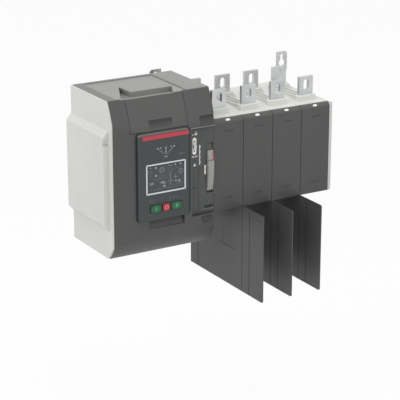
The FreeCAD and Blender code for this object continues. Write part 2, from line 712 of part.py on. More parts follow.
def manual_handle():
    """The grey rocker: a rim in front, a loop round the shaft, a hub and a toothed sector."""
    low, high = rim_angle(HANDLE_FOOT, HANDLE_R), rim_angle(HANDLE_TOP, HANDLE_R)
    rim = sector(RIM_IN, HANDLE_R, low, high, HANDLE_LEFT, HANDLE_RIGHT, PIVOT_Y)
    latch_room = sector(RIM_IN - 1, HANDLE_R + 1, rim_angle(LATCH_LOW - SLIP, HANDLE_R),
                        rim_angle(LATCH_HIGH + SLIP, HANDLE_R), LATCH_LEFT - SLIP / 2, HANDLE_RIGHT + 1,
                        PIVOT_Y)
    front = PIVOT_Y - math.sqrt(HANDLE_R ** 2 - HEAD_Z ** 2)
    groove = box(HANDLE_LEFT - 1, HANDLE_RIGHT + 1, front - 5, front + GROOVE_D,
                 HEAD_Z - GROOVE_W / 2, HEAD_Z + GROOVE_W / 2)
    rim = rim.cut([latch_room, groove])
    middle, wide, near = SECTOR_R + PINION_R, LOOP_HALF, RIM_IN - 5
    loop = [(0, -10), (middle - 26, -wide + 4), (middle, -wide), (middle + 26, -wide + 3),
            (near, HANDLE_FOOT + 5), (near + 7, HANDLE_FOOT + 5), (near + 7, HANDLE_TOP - 4),
            (near, HANDLE_TOP - 4), (middle + 26, wide - 6), (middle, wide), (middle - 26, wide - 4),
            (0, 10)]
    inner = wide - LOOP_BAR
    window = [(middle - 34, 4 - inner), (middle - 24, -inner), (middle + 24, -inner),
              (near - 4, HANDLE_FOOT + 13), (near - 4, HANDLE_TOP - 12), (middle + 24, inner - 3),
              (middle, inner), (middle - 24, inner), (middle - 34, inner - 4)]
    plate = prism_x([(PIVOT_Y - forward, z) for forward, z in loop], ARM_LEFT, ARM_RIGHT)
    opening = prism_x([(PIVOT_Y - forward, z) for forward, z in window], ARM_LEFT - 1, ARM_RIGHT + 1)
    half = 180 * SECTOR_KEPT / SECTOR_TEETH
    root = SECTOR_R - 1.25 * GEAR_MODULE
    web = sector(PIVOT_R, root, -half, half, ARM_LEFT, ARM_RIGHT, PIVOT_Y)
    hub = cylinder(PIVOT_R + 6, (HANDLE_LEFT, PIVOT_Y, 0), (ARM_RIGHT + 2, PIVOT_Y, 0))
    bore = cylinder(PIVOT_R + RUN, (HANDLE_LEFT - 1, PIVOT_Y, 0), (ARM_RIGHT + 3, PIVOT_Y, 0))
    teeth = gear_teeth(SECTOR_TEETH, SECTOR_KEPT, 0, 1, PIVOT_Y)
    return fused(rim, plate.cut(opening), web, hub, *teeth).cut(bore)


def handle_latch():
    """The red button in the right flank of the handle's head."""
    return sector(RIM_IN + LATCH_TRAVEL + SLIP, HANDLE_R, rim_angle(LATCH_LOW, HANDLE_R),
                  rim_angle(LATCH_HIGH, HANDLE_R), LATCH_LEFT, HANDLE_RIGHT, PIVOT_Y)


def handle_shield():
    """The dark band behind the rim, with a tongue at each end that keeps the slot closed."""
    low, high = rim_angle(HANDLE_FOOT, HANDLE_R), rim_angle(HANDLE_TOP, HANDLE_R)
    outer = HANDLE_R - 1.3
    inner = RIM_IN - CLEAR
    gap = math.degrees(CLEAR / HANDLE_R)
    wall = math.degrees(SHIELD_T / HANDLE_R)
    reach = rim_angle(HANDLE_SLOT_Z, HANDLE_R) + HANDLE_SWING + 0.5
    place = (HANDLE_LEFT, -STACK_HALF - WALL - SLIP, PIVOT_Y)
    band = sector(inner - SHIELD_T, inner, low - gap - wall, high + gap + wall, *place)
    band = band.cut(box(ARM_LEFT - CLEAR, ARM_RIGHT + CLEAR, PIVOT_Y - HANDLE_R, PIVOT_Y,
                        HANDLE_FOOT + 5 - CLEAR, HANDLE_TOP - 4 + CLEAR))
    parts = [band]
    for start, side in ((high + gap, 1), (low - gap, -1)):
        ends = sorted((start, start + side * wall))
        tongue = sorted((start, side * reach))
        parts.append(sector(inner - SHIELD_T, outer, *ends, *place))
        parts.append(sector(outer - SHIELD_T, outer, *tongue, *place))
    return fused(*parts)


def spoked_hub(x0, x1, low, high, reach):
    """Two spokes on a hub that fits the shaft's square."""
    spokes = [sector(HUB_R - 4, reach, angle - 6, angle + 6, x0, x1) for angle in (low, high)]
    hub = fused(shaft_cylinder(HUB_R - 2, x0, x1), *spokes)
    return hub.cut(square_bar(SHAFT_SQ + 2 * RUN, x0 - 1, x1 + 1))


def position_indicator():
    """The white flag behind the small window, on its own hub."""
    outer = SHAFT_Y - HOUSING_FRONT - 2 * SLIP
    half = rim_angle(max(WINDOW_HIGH, -WINDOW_LOW) + 1, outer) + SWING
    arc = sector(outer - 1.5, outer, -half, half, FLAG_LEFT, FLAG_RIGHT)
    return fused(arc, spoked_hub(FLAG_LEFT, FLAG_LEFT + 2, 8 - half, half - 8, outer - 0.5))


def drive_crank():
    """A two-armed crank on the shaft, with a pin for each plunger."""
    x0, x1 = CRANK_X - CRANK_T / 2, CRANK_X + CRANK_T / 2
    beam = box(x0, x1, SHAFT_Y - CRANK_R, SHAFT_Y + CRANK_R, -CRANK_PIN_R * 2, CRANK_PIN_R * 2)
    parts = [beam]
    for side in (-1, 1):
        y = SHAFT_Y + side * CRANK_R
        parts.append(cylinder(CRANK_PIN_R * 2, (x0, y, 0), (x1, y, 0)))
        parts.append(cylinder(CRANK_PIN_R, (x0 - 4, y, 0), (x1 + 4, y, 0)))
    body = fused(shaft_cylinder(HUB_R - 3, x0, x1), *parts)
    return body.cut(square_bar(SHAFT_SQ + 2 * RUN, x0 - 1, x1 + 1))


def plunger(side):
    """A solenoid's core, with a fork over the crank's pin."""
    y = SHAFT_Y + side * CRANK_R
    x0, x1 = CRANK_X - CRANK_T / 2 - 4, CRANK_X + CRANK_T / 2 + 4
    fork_high = CRANK_PIN_R + 16.0
    fork = box(x0, x1, y - 8, y + 8, -8, fork_high)
    room = box(x0 + 3.5, x1 - 3.5, y - 9, y + 9, -9, fork_high - 4)
    pin_way = box(x0 - 1, x1 + 1, y - CRANK_PIN_R - 3.8, y + CRANK_PIN_R + 3.8, -CRANK_PIN_R - 0.4,
                  CRANK_PIN_R + 0.4)
    core = cylinder(PLUNGER_R, (CRANK_X, y, fork_high - 1), (CRANK_X, y, YOKE_LOW + YOKE_T + COIL_L - 2))
    return fused(fork.cut([room, pin_way]), core)


def solenoids():
    """Two coils in steel yokes, one over each arm of the crank."""
    left, right = MECH_LEFT + WALL, CRANK_X + COIL_R
    low, high = YOKE_LOW, YOKE_LOW + COIL_L + 2 * YOKE_T
    solids = []
    for side in (-1, 1):
        y = SHAFT_Y + side * CRANK_R
        inside = COIL_R + COIL_GAP
        yoke = box(left, right, y - inside - YOKE_T, y + inside + YOKE_T, low, high)
        yoke = yoke.cut(box(left - 1, right + 1, y - inside, y + inside, low + YOKE_T, high - YOKE_T))
        coil = cylinder(COIL_R, (CRANK_X, y, low + YOKE_T), (CRANK_X, y, high - YOKE_T))
        bore = cylinder(PLUNGER_R + COIL_GAP, (CRANK_X, y, low - 1), (CRANK_X, y, high + 1))
        solids.append(fused(yoke, coil).cut(bore))
    return Part.makeCompound(solids)


def selector_bezel():
    """The white capsule round the mode selector's slot."""
    half = SELECTOR_L / 2
    plate = slot_y(SELECTOR_X, SELECTOR_Z - half, SELECTOR_Z + half, SELECTOR_W,
                   POLE_FRONT - 0.6, POLE_FRONT)
    reach = SELECTOR_TRAVEL + KNOB_L / 2
    return plate.cut(slot_y(SELECTOR_X, SELECTOR_Z - reach, SELECTOR_Z + reach, SELECTOR_SLOT,
                            POLE_FRONT - 2, POLE_FRONT + 1))


def selector_knob():
    """The mode selector's slider: a ribbed head, a stem through the slot and a foot behind the panel."""
    head = box(SELECTOR_X - KNOB_W / 2, SELECTOR_X + KNOB_W / 2, POLE_FRONT - 3.6, POLE_FRONT - 0.6 - SLIP,
               SELECTOR_Z - KNOB_L / 2, SELECTOR_Z + KNOB_L / 2)
    half = SELECTOR_SLOT / 2 - SLIP
    stem = box(SELECTOR_X - half, SELECTOR_X + half, POLE_FRONT - 1.5, HOUSING_FRONT + 1,
               SELECTOR_Z - 1.5, SELECTOR_Z + 1.5)
    foot = box(SELECTOR_X - 3, SELECTOR_X + 3, HOUSING_FRONT + SLIP, HOUSING_FRONT + 2, SELECTOR_Z - 3,
               SELECTOR_Z + 3)
    grooves = [box(SELECTOR_X - 5, SELECTOR_X + 5, POLE_FRONT - 4, POLE_FRONT - 3.1,
                   SELECTOR_Z + step - 0.3, SELECTOR_Z + step + 0.3) for step in (-1.2, 0, 1.2)]
    return fused(head.cut(grooves), stem, foot)


def lock_slide():
    """The padlocking tongue under the handle. Its stop runs behind the panel, left of the handle's band."""
    left = lock_left()
    low, high = LOCK_Z - LOCK_T / 2, LOCK_Z + LOCK_T / 2
    hole_y = POLE_FRONT + LOCK_OUT - LOCK_HOLE_R - LOCK_WEB
    stop_y = HOUSING_FRONT + LOCK_OUT + SLIP
    rail_right = HANDLE_LEFT - CLEAR
    tongue = box(left, left + LOCK_W, POLE_FRONT - 1.5, hole_y + LOCK_HOLE_R + LOCK_WEB, low, high)
    rail = box(left, rail_right, hole_y, stop_y + LOCK_STOP_T, low, high)
    stop = box(left - 1.5, rail_right, stop_y, stop_y + LOCK_STOP_T, low, high)
    middle = left + LOCK_W / 2
    hole = cylinder(LOCK_HOLE_R, (middle, hole_y, low - 1), (middle, hole_y, high + 1))
    return fused(tongue, rail, stop).cut(hole)


# ---- controller module ----
def module_profile(inset):
    """The module from the side: flat back, front face drawn back at the top and the bottom."""
    top, low, front = MODULE_TOP - inset, MODULE_LOW + inset, MODULE_FRONT + inset
    return [(MODULE_BACK, low), (MODULE_BACK, top), (front + 18.5, top),
            ((front + 7.5, top - 24), (front, top - 56)), (front, low + 44),
            ((front + 4.0, low + 21), (front + 19.0, low))]


def module_plan(inset):
    """The module from above: a gently crowned front."""
    front = MODULE_FRONT + inset
    left, right = MODULE_LEFT, MODULE_RIGHT
    middle = (left + right) / 2
    return [(left, MODULE_BACK), (left, front + 5), ((middle, front), (right, front + 2)),
            (right, MODULE_BACK)]


def module_block(inset, x0, x1):
    side = prism_x(module_profile(inset), x0, x1)
    plan = prism_z(module_plan(inset), MODULE_LOW - 1, MODULE_TOP + 1)
    return side.common(plan)


def lid_region(grow):
    """The space that the upper access cover takes: over the top and down the front."""
    high = MODULE_TOP + 1
    over = box(LID_LEFT - grow, LID_RIGHT + grow, MODULE_FRONT + 18.5, MODULE_BACK - 6 + grow,
               MODULE_TOP - SHELL, high)
    down = box(LID_LEFT + LID_TONGUE_LEFT - grow, LID_RIGHT - LID_TONGUE_RIGHT + grow, MODULE_FRONT - 1,
               MODULE_FRONT + 19, MODULE_TOP - LID_DROP - grow, high)
    return over.fuse(down)


def lid_grip(grow):
    """The finger recess in the lid's top. Its floor falls from the front edge to the back wall."""
    edge = MODULE_FRONT + 17.5
    back = MODULE_FRONT + 50 + grow
    left, right = LID_LEFT + 5 - grow, LID_RIGHT - 6 + grow
    corner = LID_LEFT + 38 + grow
    plan = [(left, edge), (corner - 2, back + 32), (corner, back), (right, back), (right - 15, edge)]
    deep = MODULE_TOP - GRIP_D - LID_SINK - grow
    slope = [(edge - 1, MODULE_TOP - LID_SINK - grow), (MODULE_FRONT + 50, deep), (back + 40, deep),
             (back + 40, MODULE_TOP + 2), (edge - 1, MODULE_TOP + 2)]
    return prism_z(plan, MODULE_LOW, MODULE_TOP + 2).common(prism_x(slope, LID_LEFT - 1, LID_RIGHT + 1))


def scoop(x0, x1, low, high, grow=0.0):
    """A finger recess in the module's front: deep at its top edge and run out at its foot."""
    front = MODULE_FRONT
    return prism_x([(front - 1, high + grow), (front + SCOOP_D + 1 + grow, high - 1 + grow),
                    (front + SCOOP_D / 2 + grow, low - grow), (front - 1, low - grow)], x0 - grow, x1 + grow)


def with_scoop(shell, *place):
    """A shell with a scoop cut in it, and the skin that closes the scoop behind."""
    pocket = scoop(*place)
    skin = scoop(*place, SHELL / 2).common(module_block(0, MODULE_LEFT, MODULE_RIGHT))
    return shell.fuse(skin).cut(pocket)


def front_cover():
    """The dark shell over the module's front, top and bottom."""
    outer = module_block(0, MODULE_LEFT, MODULE_RIGHT)
    inner = module_block(SHELL, MODULE_LEFT - 1, MODULE_RIGHT - SHELL)
    inner = inner.fuse(box(MODULE_LEFT, MODULE_RIGHT - SHELL, MODULE_BACK - 10, MODULE_BACK + 1,
                           MODULE_LOW + SHELL, MODULE_TOP - SHELL))
    returns = outer.common(box(PANEL_LEFT - SHELL, MODULE_RIGHT, MODULE_FRONT - 1, POLE_FRONT,
                               PANEL_LOW - CLEAR - SHELL, PANEL_HIGH + CLEAR + SHELL))
    body = outer.cut(inner).fuse(returns)
    body = with_scoop(body, HMI_LEFT + 18.5, HMI_RIGHT - 6, HMI_LOW - 13, HMI_LOW - 1)
    body = with_scoop(body, PANEL_LEFT + 13, MODULE_RIGHT + 1, PANEL_HIGH + 3, PANEL_HIGH + 17)
    cuts = [box(HMI_LEFT + HMI_LIP, HMI_RIGHT - HMI_LIP, MODULE_FRONT - 5, MODULE_FRONT + 30,
                HMI_LOW + HMI_LIP, HMI_HIGH - HMI_LIP),
            plate_y(HMI_LEFT - SLIP, HMI_RIGHT + SLIP, MODULE_FRONT - 5, HMI_BACK, HMI_LOW - SLIP,
                    HMI_HIGH + SLIP, HMI_ROUND),
            box(PANEL_LEFT - CLEAR, MODULE_RIGHT + 1, MODULE_FRONT - 5, MODULE_FRONT + 20,
                PANEL_LOW - CLEAR, PANEL_HIGH + CLEAR),
            box(MECH_LEFT - CLEAR, MODULE_RIGHT + 1, HOUSING_FRONT - CLEAR, MODULE_BACK + 1,
                -MECH_TOP - CLEAR, MECH_TOP + CLEAR),
            lid_region(LID_GAP), lid_grip(GRIP_WALL + LID_GAP)]
    return body.cut(cuts)


def access_cover():
    """The upper access cover, with a finger recess on top and a scoop in its front."""
    block = module_block(0, MODULE_LEFT, MODULE_RIGHT)
    lid = block.cut(module_block(SHELL, MODULE_LEFT - 1, MODULE_RIGHT + 1)).common(lid_region(0))
    foot = MODULE_TOP - LID_DROP
    lid = with_scoop(lid, HMI_LEFT + 20.5, HMI_RIGHT - 23, foot + 2.3, foot + 14.8)
    trim = box(LID_LEFT - 1, LID_RIGHT + 1, MODULE_FRONT + 18, MODULE_BACK, MODULE_TOP - LID_SINK,
               MODULE_TOP + 1)
    over = box(LID_LEFT, LID_RIGHT, MODULE_FRONT + 18.5, MODULE_BACK, MODULE_LOW, MODULE_TOP)
    skin = lid_grip(GRIP_WALL).common(block).common(over)
    return lid.fuse(skin).cut([trim, lid_grip(0)]).removeSplitter()


def module_base():
    """The back tray that the covers and the boards fasten to."""
    left, right = MODULE_LEFT + CLEAR, MECH_LEFT - NUT_T - 2
    back = MODULE_BACK
    top, low = MODULE_TOP - SHELL - CLEAR, MODULE_LOW + SHELL + CLEAR
    tray = box(left, right, back - 30, back, low, top)
    tray = tray.cut(box(left - 1, right - SHELL, back - 31, back - SHELL, low + SHELL, top - SHELL))
    posts = [cylinder(3.0, (x, back - 42, z), (x, back - SHELL, z))
             for x in (left + 14, right - 16) for z in (low + 22, top - 22)]
    return fused(tray, *posts)


def control_board():
    """The controller's main board on its four posts, with its relays and transformer."""
    left, right = MODULE_LEFT + CLEAR, MECH_LEFT - NUT_T - 2
    low, high = MODULE_LOW + SHELL + CLEAR + 14, MODULE_TOP - SHELL - CLEAR - 14
    back = MODULE_BACK - 42
    board = box(left + 6, right - 8, back - BOARD_T, back, low, high)
    parts = []
    for k in range(4):
        relay = left + 16 + 24 * k
        parts.append(box(relay, relay + 18, back - BOARD_T - 16, back - BOARD_T, low + 12, low + 40))
    parts.append(box(left + 20, left + 62, back - BOARD_T - 34, back - BOARD_T, high - 60, high - 14))
    return fused(board, *parts)


def side_cover():
    """The light grey left cover: a rim that follows the front, and a raised panel with ramps."""
    x0 = MODULE_LEFT
    x1 = x0 - SIDE_T
    out = x1 - SIDE_BULGE
    pad_front = MODULE_FRONT + SIDE_PAD_SETBACK
    rim = prism_x(module_profile(0.8), x1, x0)
    plan = prism_z([(x1 - 1, MODULE_BACK + 4), (x1 - 1, MODULE_FRONT + 7), (x0 + 1, MODULE_FRONT + 5.6),
                    (x0 + 1, MODULE_BACK + 4)], MODULE_LOW - 1, MODULE_TOP + 1)
    ramp_foot = SIDE_PAD_HIGH - SIDE_PAD_TOP_RAMP
    pad = prism_y([(x1 + 1, SIDE_PAD_HIGH), (out, ramp_foot), (out, SIDE_PAD_LOW + SIDE_PAD_LOW_RAMP),
                   (x1 + 1, SIDE_PAD_LOW)], pad_front, MODULE_BACK)
    notch = prism_x([(pad_front - 1, ramp_foot), (pad_front, ramp_foot),
                     (pad_front + SIDE_NOTCH_D, ramp_foot - SIDE_NOTCH_H),
                     (pad_front - 1, ramp_foot - SIDE_NOTCH_H)], out - 1, x1)
    body = fused(rim.common(plan), pad.cut(notch))
    hollow = prism_y([(x0 + 1, SIDE_PAD_HIGH - 4), (out + WALL, ramp_foot - 1.5),
                      (out + WALL, SIDE_PAD_LOW + SIDE_PAD_LOW_RAMP + 1.5), (x0 + 1, SIDE_PAD_LOW + 4)],
                     pad_front + 7, MODULE_BACK - WALL)
    return body.cut(hollow)


def hmi_body():
    """The operator panel: a rounded front with a tail that plugs into the module."""
    back = HMI_BACK
    face = plate_y(HMI_LEFT, HMI_RIGHT, HMI_FRONT, back, HMI_LOW, HMI_HIGH, HMI_ROUND)
    rim = [edge for edge in face.Edges if abs(edge.CenterOfMass.y - HMI_FRONT) < 0.01]
    face = face.makeChamfer(0.8, rim)
    tail = box(HMI_LEFT + HMI_LIP + CLEAR, HMI_RIGHT - HMI_LIP - CLEAR, back - 1, back + 14,
               HMI_LOW + HMI_LIP + CLEAR, HMI_HIGH - HMI_LIP - CLEAR)
    body = fused(face, tail)
    hollow = box(HMI_LEFT + HMI_LIP + 3, HMI_RIGHT - HMI_LIP - 3, HMI_FRONT + 3, back + 12,
                 HMI_LOW + HMI_LIP + 3, HMI_HIGH - HMI_LIP - 3)
    cuts = [hollow, display_block(CLEAR / 2, 4.0), strip_block(CLEAR / 2)]
    for x, width in KEYS.values():
        cuts.append(key_block(x, width, SLIP, HMI_FRONT - 1, HMI_FRONT + 4))
    return body.cut(cuts)


def display_block(grow, depth):
    return plate_y(DISPLAY_LEFT - grow, DISPLAY_RIGHT + grow, HMI_FRONT - 1, HMI_FRONT + depth,
                   DISPLAY_LOW - grow, DISPLAY_HIGH + grow, 1.0)


def display_opening(grow):
    return plate_y(DISPLAY_LEFT + DISPLAY_RIM + grow, DISPLAY_RIGHT - DISPLAY_RIM - grow, HMI_FRONT - 1,
                   HMI_FRONT + 5, DISPLAY_LOW + DISPLAY_RIM + grow, DISPLAY_HIGH - DISPLAY_RIM - grow, 0.8)


def display_frame():
    """The light rim round the display."""
    ring = plate_y(DISPLAY_LEFT, DISPLAY_RIGHT, HMI_FRONT - 0.3, HMI_FRONT + 3, DISPLAY_LOW, DISPLAY_HIGH, 1.0)
    return ring.cut(display_opening(0))


def display_window():
    """The clear window and the display behind it."""
    pane = display_opening(CLEAR / 2).common(box(DISPLAY_LEFT, DISPLAY_RIGHT, HMI_FRONT + 0.3, HMI_FRONT + 3,
                                                 DISPLAY_LOW, DISPLAY_HIGH))
    back = box(DISPLAY_LEFT + 1, DISPLAY_RIGHT - 1, HMI_FRONT + 3, HMI_FRONT + 8, DISPLAY_LOW + 1,
               DISPLAY_HIGH - 1)
    return fused(pane, back)


def strip_block(grow):
    return plate_y(STRIP_LEFT - grow, STRIP_RIGHT + grow, HMI_FRONT - 1, HMI_FRONT + 1.5, STRIP_LOW - grow,
                   STRIP_HIGH + grow, 0.8)


def accent_strip():
    """The red strip across the operator panel."""
    return strip_block(0).common(box(HMI_LEFT, HMI_RIGHT, HMI_FRONT - 0.2, HMI_FRONT + 2, STRIP_LOW,
                                     STRIP_HIGH))


def key_block(x, width, grow, y0, y1):
    return plate_y(x - grow, x + width + grow, y0, y1, KEY_Z - KEY_H / 2 - grow, KEY_Z + KEY_H / 2 + grow, 1.8)


def key(name):
    """One push key: a cap that stands proud, and a flange behind the panel that keeps it in."""
    x, width = KEYS[name]
    back = HMI_FRONT + 3
    cap = key_block(x, width, 0, HMI_FRONT - KEY_PROUD - KEY_TRAVEL, back + 1.5)
    front = HMI_FRONT - KEY_PROUD - KEY_TRAVEL
    rim = [edge for edge in cap.Edges if abs(edge.CenterOfMass.y - front) < 0.01]
    cap = cap.makeChamfer(0.4, rim)
    flange = box(x - 0.6, x + width + 0.6, back + SLIP, back + 1.5, KEY_Z - KEY_H / 2 - 1,
                 KEY_Z + KEY_H / 2 + 1)
    return fused(cap, flange)


def build():
    nodes = {}
    for index in range(POLES):
        tag = "_%d" % (index + 1)
        nodes["pole_housing" + tag] = pole_housing(index)
        nodes["pole_front" + tag] = pole_front(index)
        nodes["source_one_terminal" + tag] = source_terminal(index, SOURCE_ONE_Y)
        nodes["source_two_terminal" + tag] = source_terminal(index, SOURCE_TWO_Y)
        nodes["load_terminal" + tag] = load_terminal(index)
        nodes["moving_contact" + tag] = moving_contact(index)
    for index in range(POLES - 1):
        nodes["phase_barrier_%d" % (index + 1)] = phase_barrier(index)
    nodes["pole_shaft"] = pole_shaft()
    nodes["arc_plates"] = arc_plates()
    nodes["tie_rods"] = tie_rods()
    nodes["marker_tabs"] = Part.makeCompound([marker_tab(index) for index in range(POLES)])
    nodes["right_end_cover"] = right_end_cover()
    nodes["mounting_bracket_left"] = mounting_bracket(-1)
    nodes["mounting_bracket_right"] = mounting_bracket(1)
    nodes["bracket_screws"] = bracket_screws()
    nodes["mechanism_housing"] = mechanism_housing()
    nodes["mechanism_panel"] = mechanism_panel()
    nodes["manual_handle"] = manual_handle()
    nodes["handle_shield"] = handle_shield()
    nodes["handle_latch"] = handle_latch()
    nodes["drive_crank"] = drive_crank()
    nodes["position_indicator"] = position_indicator()
    nodes["solenoids"] = solenoids()
    nodes["plunger_one"] = plunger(-1)
    nodes["plunger_two"] = plunger(1)
    nodes["selector_bezel"] = selector_bezel()
    nodes["selector_knob"] = selector_knob()
    nodes["lock_slide"] = lock_slide()
    nodes["module_base"] = module_base()
    nodes["control_board"] = control_board()
    nodes["front_cover"] = front_cover()
    nodes["access_cover"] = access_cover()
    nodes["side_cover"] = side_cover()
    nodes["hmi_body"] = hmi_body()
    nodes["display_frame"] = display_frame()
    nodes["display_window"] = display_window()
    nodes["accent_strip"] = accent_strip()
    for name in KEYS:
        nodes[name] = key(name)
    return nodes


os.makedirs("parts", exist_ok=True)
for name, shape in build().items():
    shape.exportStep("parts/%s.step" % name)
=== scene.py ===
import json
import math

import bmesh
import bpy
from mathutils import Matrix, Vector


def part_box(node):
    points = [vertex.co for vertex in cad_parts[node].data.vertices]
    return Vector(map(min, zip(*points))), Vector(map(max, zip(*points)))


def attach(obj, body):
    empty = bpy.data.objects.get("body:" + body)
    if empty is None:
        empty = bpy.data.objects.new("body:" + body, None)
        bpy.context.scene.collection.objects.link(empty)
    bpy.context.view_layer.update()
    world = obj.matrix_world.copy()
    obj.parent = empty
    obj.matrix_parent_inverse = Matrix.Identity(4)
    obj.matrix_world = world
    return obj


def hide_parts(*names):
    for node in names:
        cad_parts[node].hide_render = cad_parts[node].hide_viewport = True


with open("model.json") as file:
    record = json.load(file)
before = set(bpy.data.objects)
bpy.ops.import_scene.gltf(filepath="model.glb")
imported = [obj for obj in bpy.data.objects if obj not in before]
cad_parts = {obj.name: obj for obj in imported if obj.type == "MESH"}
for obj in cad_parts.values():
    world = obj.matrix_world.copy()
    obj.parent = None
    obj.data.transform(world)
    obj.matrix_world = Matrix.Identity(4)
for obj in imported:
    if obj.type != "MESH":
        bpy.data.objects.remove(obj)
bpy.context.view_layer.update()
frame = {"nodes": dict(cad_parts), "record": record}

NODES = frame["nodes"]
MM = 0.001


# ---- camera -----------------------------------------------------------------------------
CAMERA_PLACE = Vector((-1247.1, -2032.2, 686.5)) * MM
CAMERA_TARGET = Vector((-122.5, -148.0, -46.1)) * MM
CAMERA_LENS = 145.9
SENSOR_WIDTH = 36.0


def aim(thing, place, target):
    """Puts a camera or a lamp in the scene, at a place and turned towards its target."""
    thing.location = place
    thing.rotation_euler = (target - place).to_track_quat("-Z", "Y").to_euler()
    bpy.context.scene.collection.objects.link(thing)


def set_camera():
    """The three-quarter view from the front left, a little above the object."""
    data = bpy.data.cameras.new("view_camera")
    data.lens = CAMERA_LENS
    data.sensor_width = SENSOR_WIDTH
    camera = bpy.data.objects.new("view_camera", data)
    aim(camera, CAMERA_PLACE, CAMERA_TARGET)
    bpy.context.scene.camera = camera


set_camera()


# ---- places on the object -----------------------------------------------------------------
HMI_LOW, HMI_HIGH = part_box("hmi_body")
PANE_LOW, PANE_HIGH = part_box("display_window")
PANEL_LOW, PANEL_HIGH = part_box("mechanism_panel")
COVER_LOW, COVER_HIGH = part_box("front_cover")
LID_LOW, LID_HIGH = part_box("access_cover")
BEZEL_LOW, BEZEL_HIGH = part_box("selector_bezel")
STRIP_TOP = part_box("accent_strip")[1].z

# Each finger scoop is its left, right, foot and top, and the front of the cover it sinks into.
PANEL_SCOOP = (HMI_LOW.x + 18.5 * MM, HMI_HIGH.x - 6 * MM,
               HMI_LOW.z - 13 * MM, HMI_LOW.z - 1 * MM, COVER_LOW.y)
ARM_SCOOP = (PANEL_LOW.x + 13 * MM, COVER_HIGH.x + 1 * MM,
             PANEL_HIGH.z + 3 * MM, PANEL_HIGH.z + 17 * MM, COVER_LOW.y)
LID_SCOOP = (HMI_LOW.x + 20.5 * MM, HMI_HIGH.x - 23 * MM,
             LID_LOW.z + 2.3 * MM, LID_LOW.z + 14.8 * MM, LID_LOW.y)

# The joints between neighbouring poles, and the lid's grip: its foot and its front.
POLE_SEAMS = [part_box("pole_housing_%d" % pole)[0].x for pole in (2, 3, 4)]
GRIP_LOW, GRIP_EDGE = LID_HIGH.z - 9.5 * MM, COVER_LOW.y + 17.5 * MM

# The grooves across a barrier, and the painted dark reflections of the terminals on it: front,
# back, foot and top.
BARRIER_GROOVES = [y * MM for y in (-148.0, -167.5, -22.0)]
BARRIER_DARK_REFLECTIONS = [(-118.0 * MM, -112.0 * MM, -136 * MM, -103 * MM),
                 (-99.0 * MM, -93.0 * MM, -138 * MM, -107 * MM)]

# Dust and a painted top light start at one height and lie fully from the other.
DUST_AND_LIGHT_FROM, DUST_AND_LIGHT_FULL = 60 * MM, 84 * MM


# ---- shader arithmetic ------------------------------------------------------------------
class Value:
    """An output of a node. Sums and products of values add Math nodes."""

    def __init__(self, nodes, socket):
        self.nodes = nodes
        self.socket = socket

    def _math(self, operation, first, second):
        return self.nodes.node("ShaderNodeMath", {"operation": operation}, {0: first, 1: second})

    def __add__(self, other):
        return self._math("ADD", self, other)

    __radd__ = __add__

    def __sub__(self, other):
        return self._math("SUBTRACT", self, other)

    def __rsub__(self, other):
        return self._math("SUBTRACT", other, self)

    def __mul__(self, other):
        return self._math("MULTIPLY", self, other)

    __rmul__ = __mul__

    def __truediv__(self, other):
        return self._math("DIVIDE", self, other)

    def __rtruediv__(self, other):
        return self._math("DIVIDE", other, self)

    def most(self, other):
        return self._math("MAXIMUM", self, other)

    def between(self, low, high, to_low=0.0, to_high=1.0):
        """A smooth step: to_low below low, to_high above high."""
        return self.nodes.node("ShaderNodeMapRange", {"interpolation_type": "SMOOTHSTEP"},
                               {0: self, 1: low, 2: high, 3: to_low, 4: to_high})


class Nodes:
    """The node tree of a material or a world."""

    def __init__(self, owner):
        owner.use_nodes = True
        self.tree = owner.node_tree
        self.tree.nodes.clear()

    def node(self, kind, settings=None, inputs=None, out=0):
        """Adds a node, sets it up, feeds its sockets and returns one of its outputs."""
        made = self.tree.nodes.new(kind)
        for key, value in (settings or {}).items():
            setattr(made, key, value)
        for key, value in (inputs or {}).items():
            if isinstance(value, Value):
                self.tree.links.new(value.socket, made.inputs[key])
            else:
                made.inputs[key].default_value = value
        return Value(self, made.outputs[out]) if made.outputs else None

    def sibling(self, value, out):
        """Another output of the node that a value comes from."""
        return Value(self, value.socket.node.outputs[out])


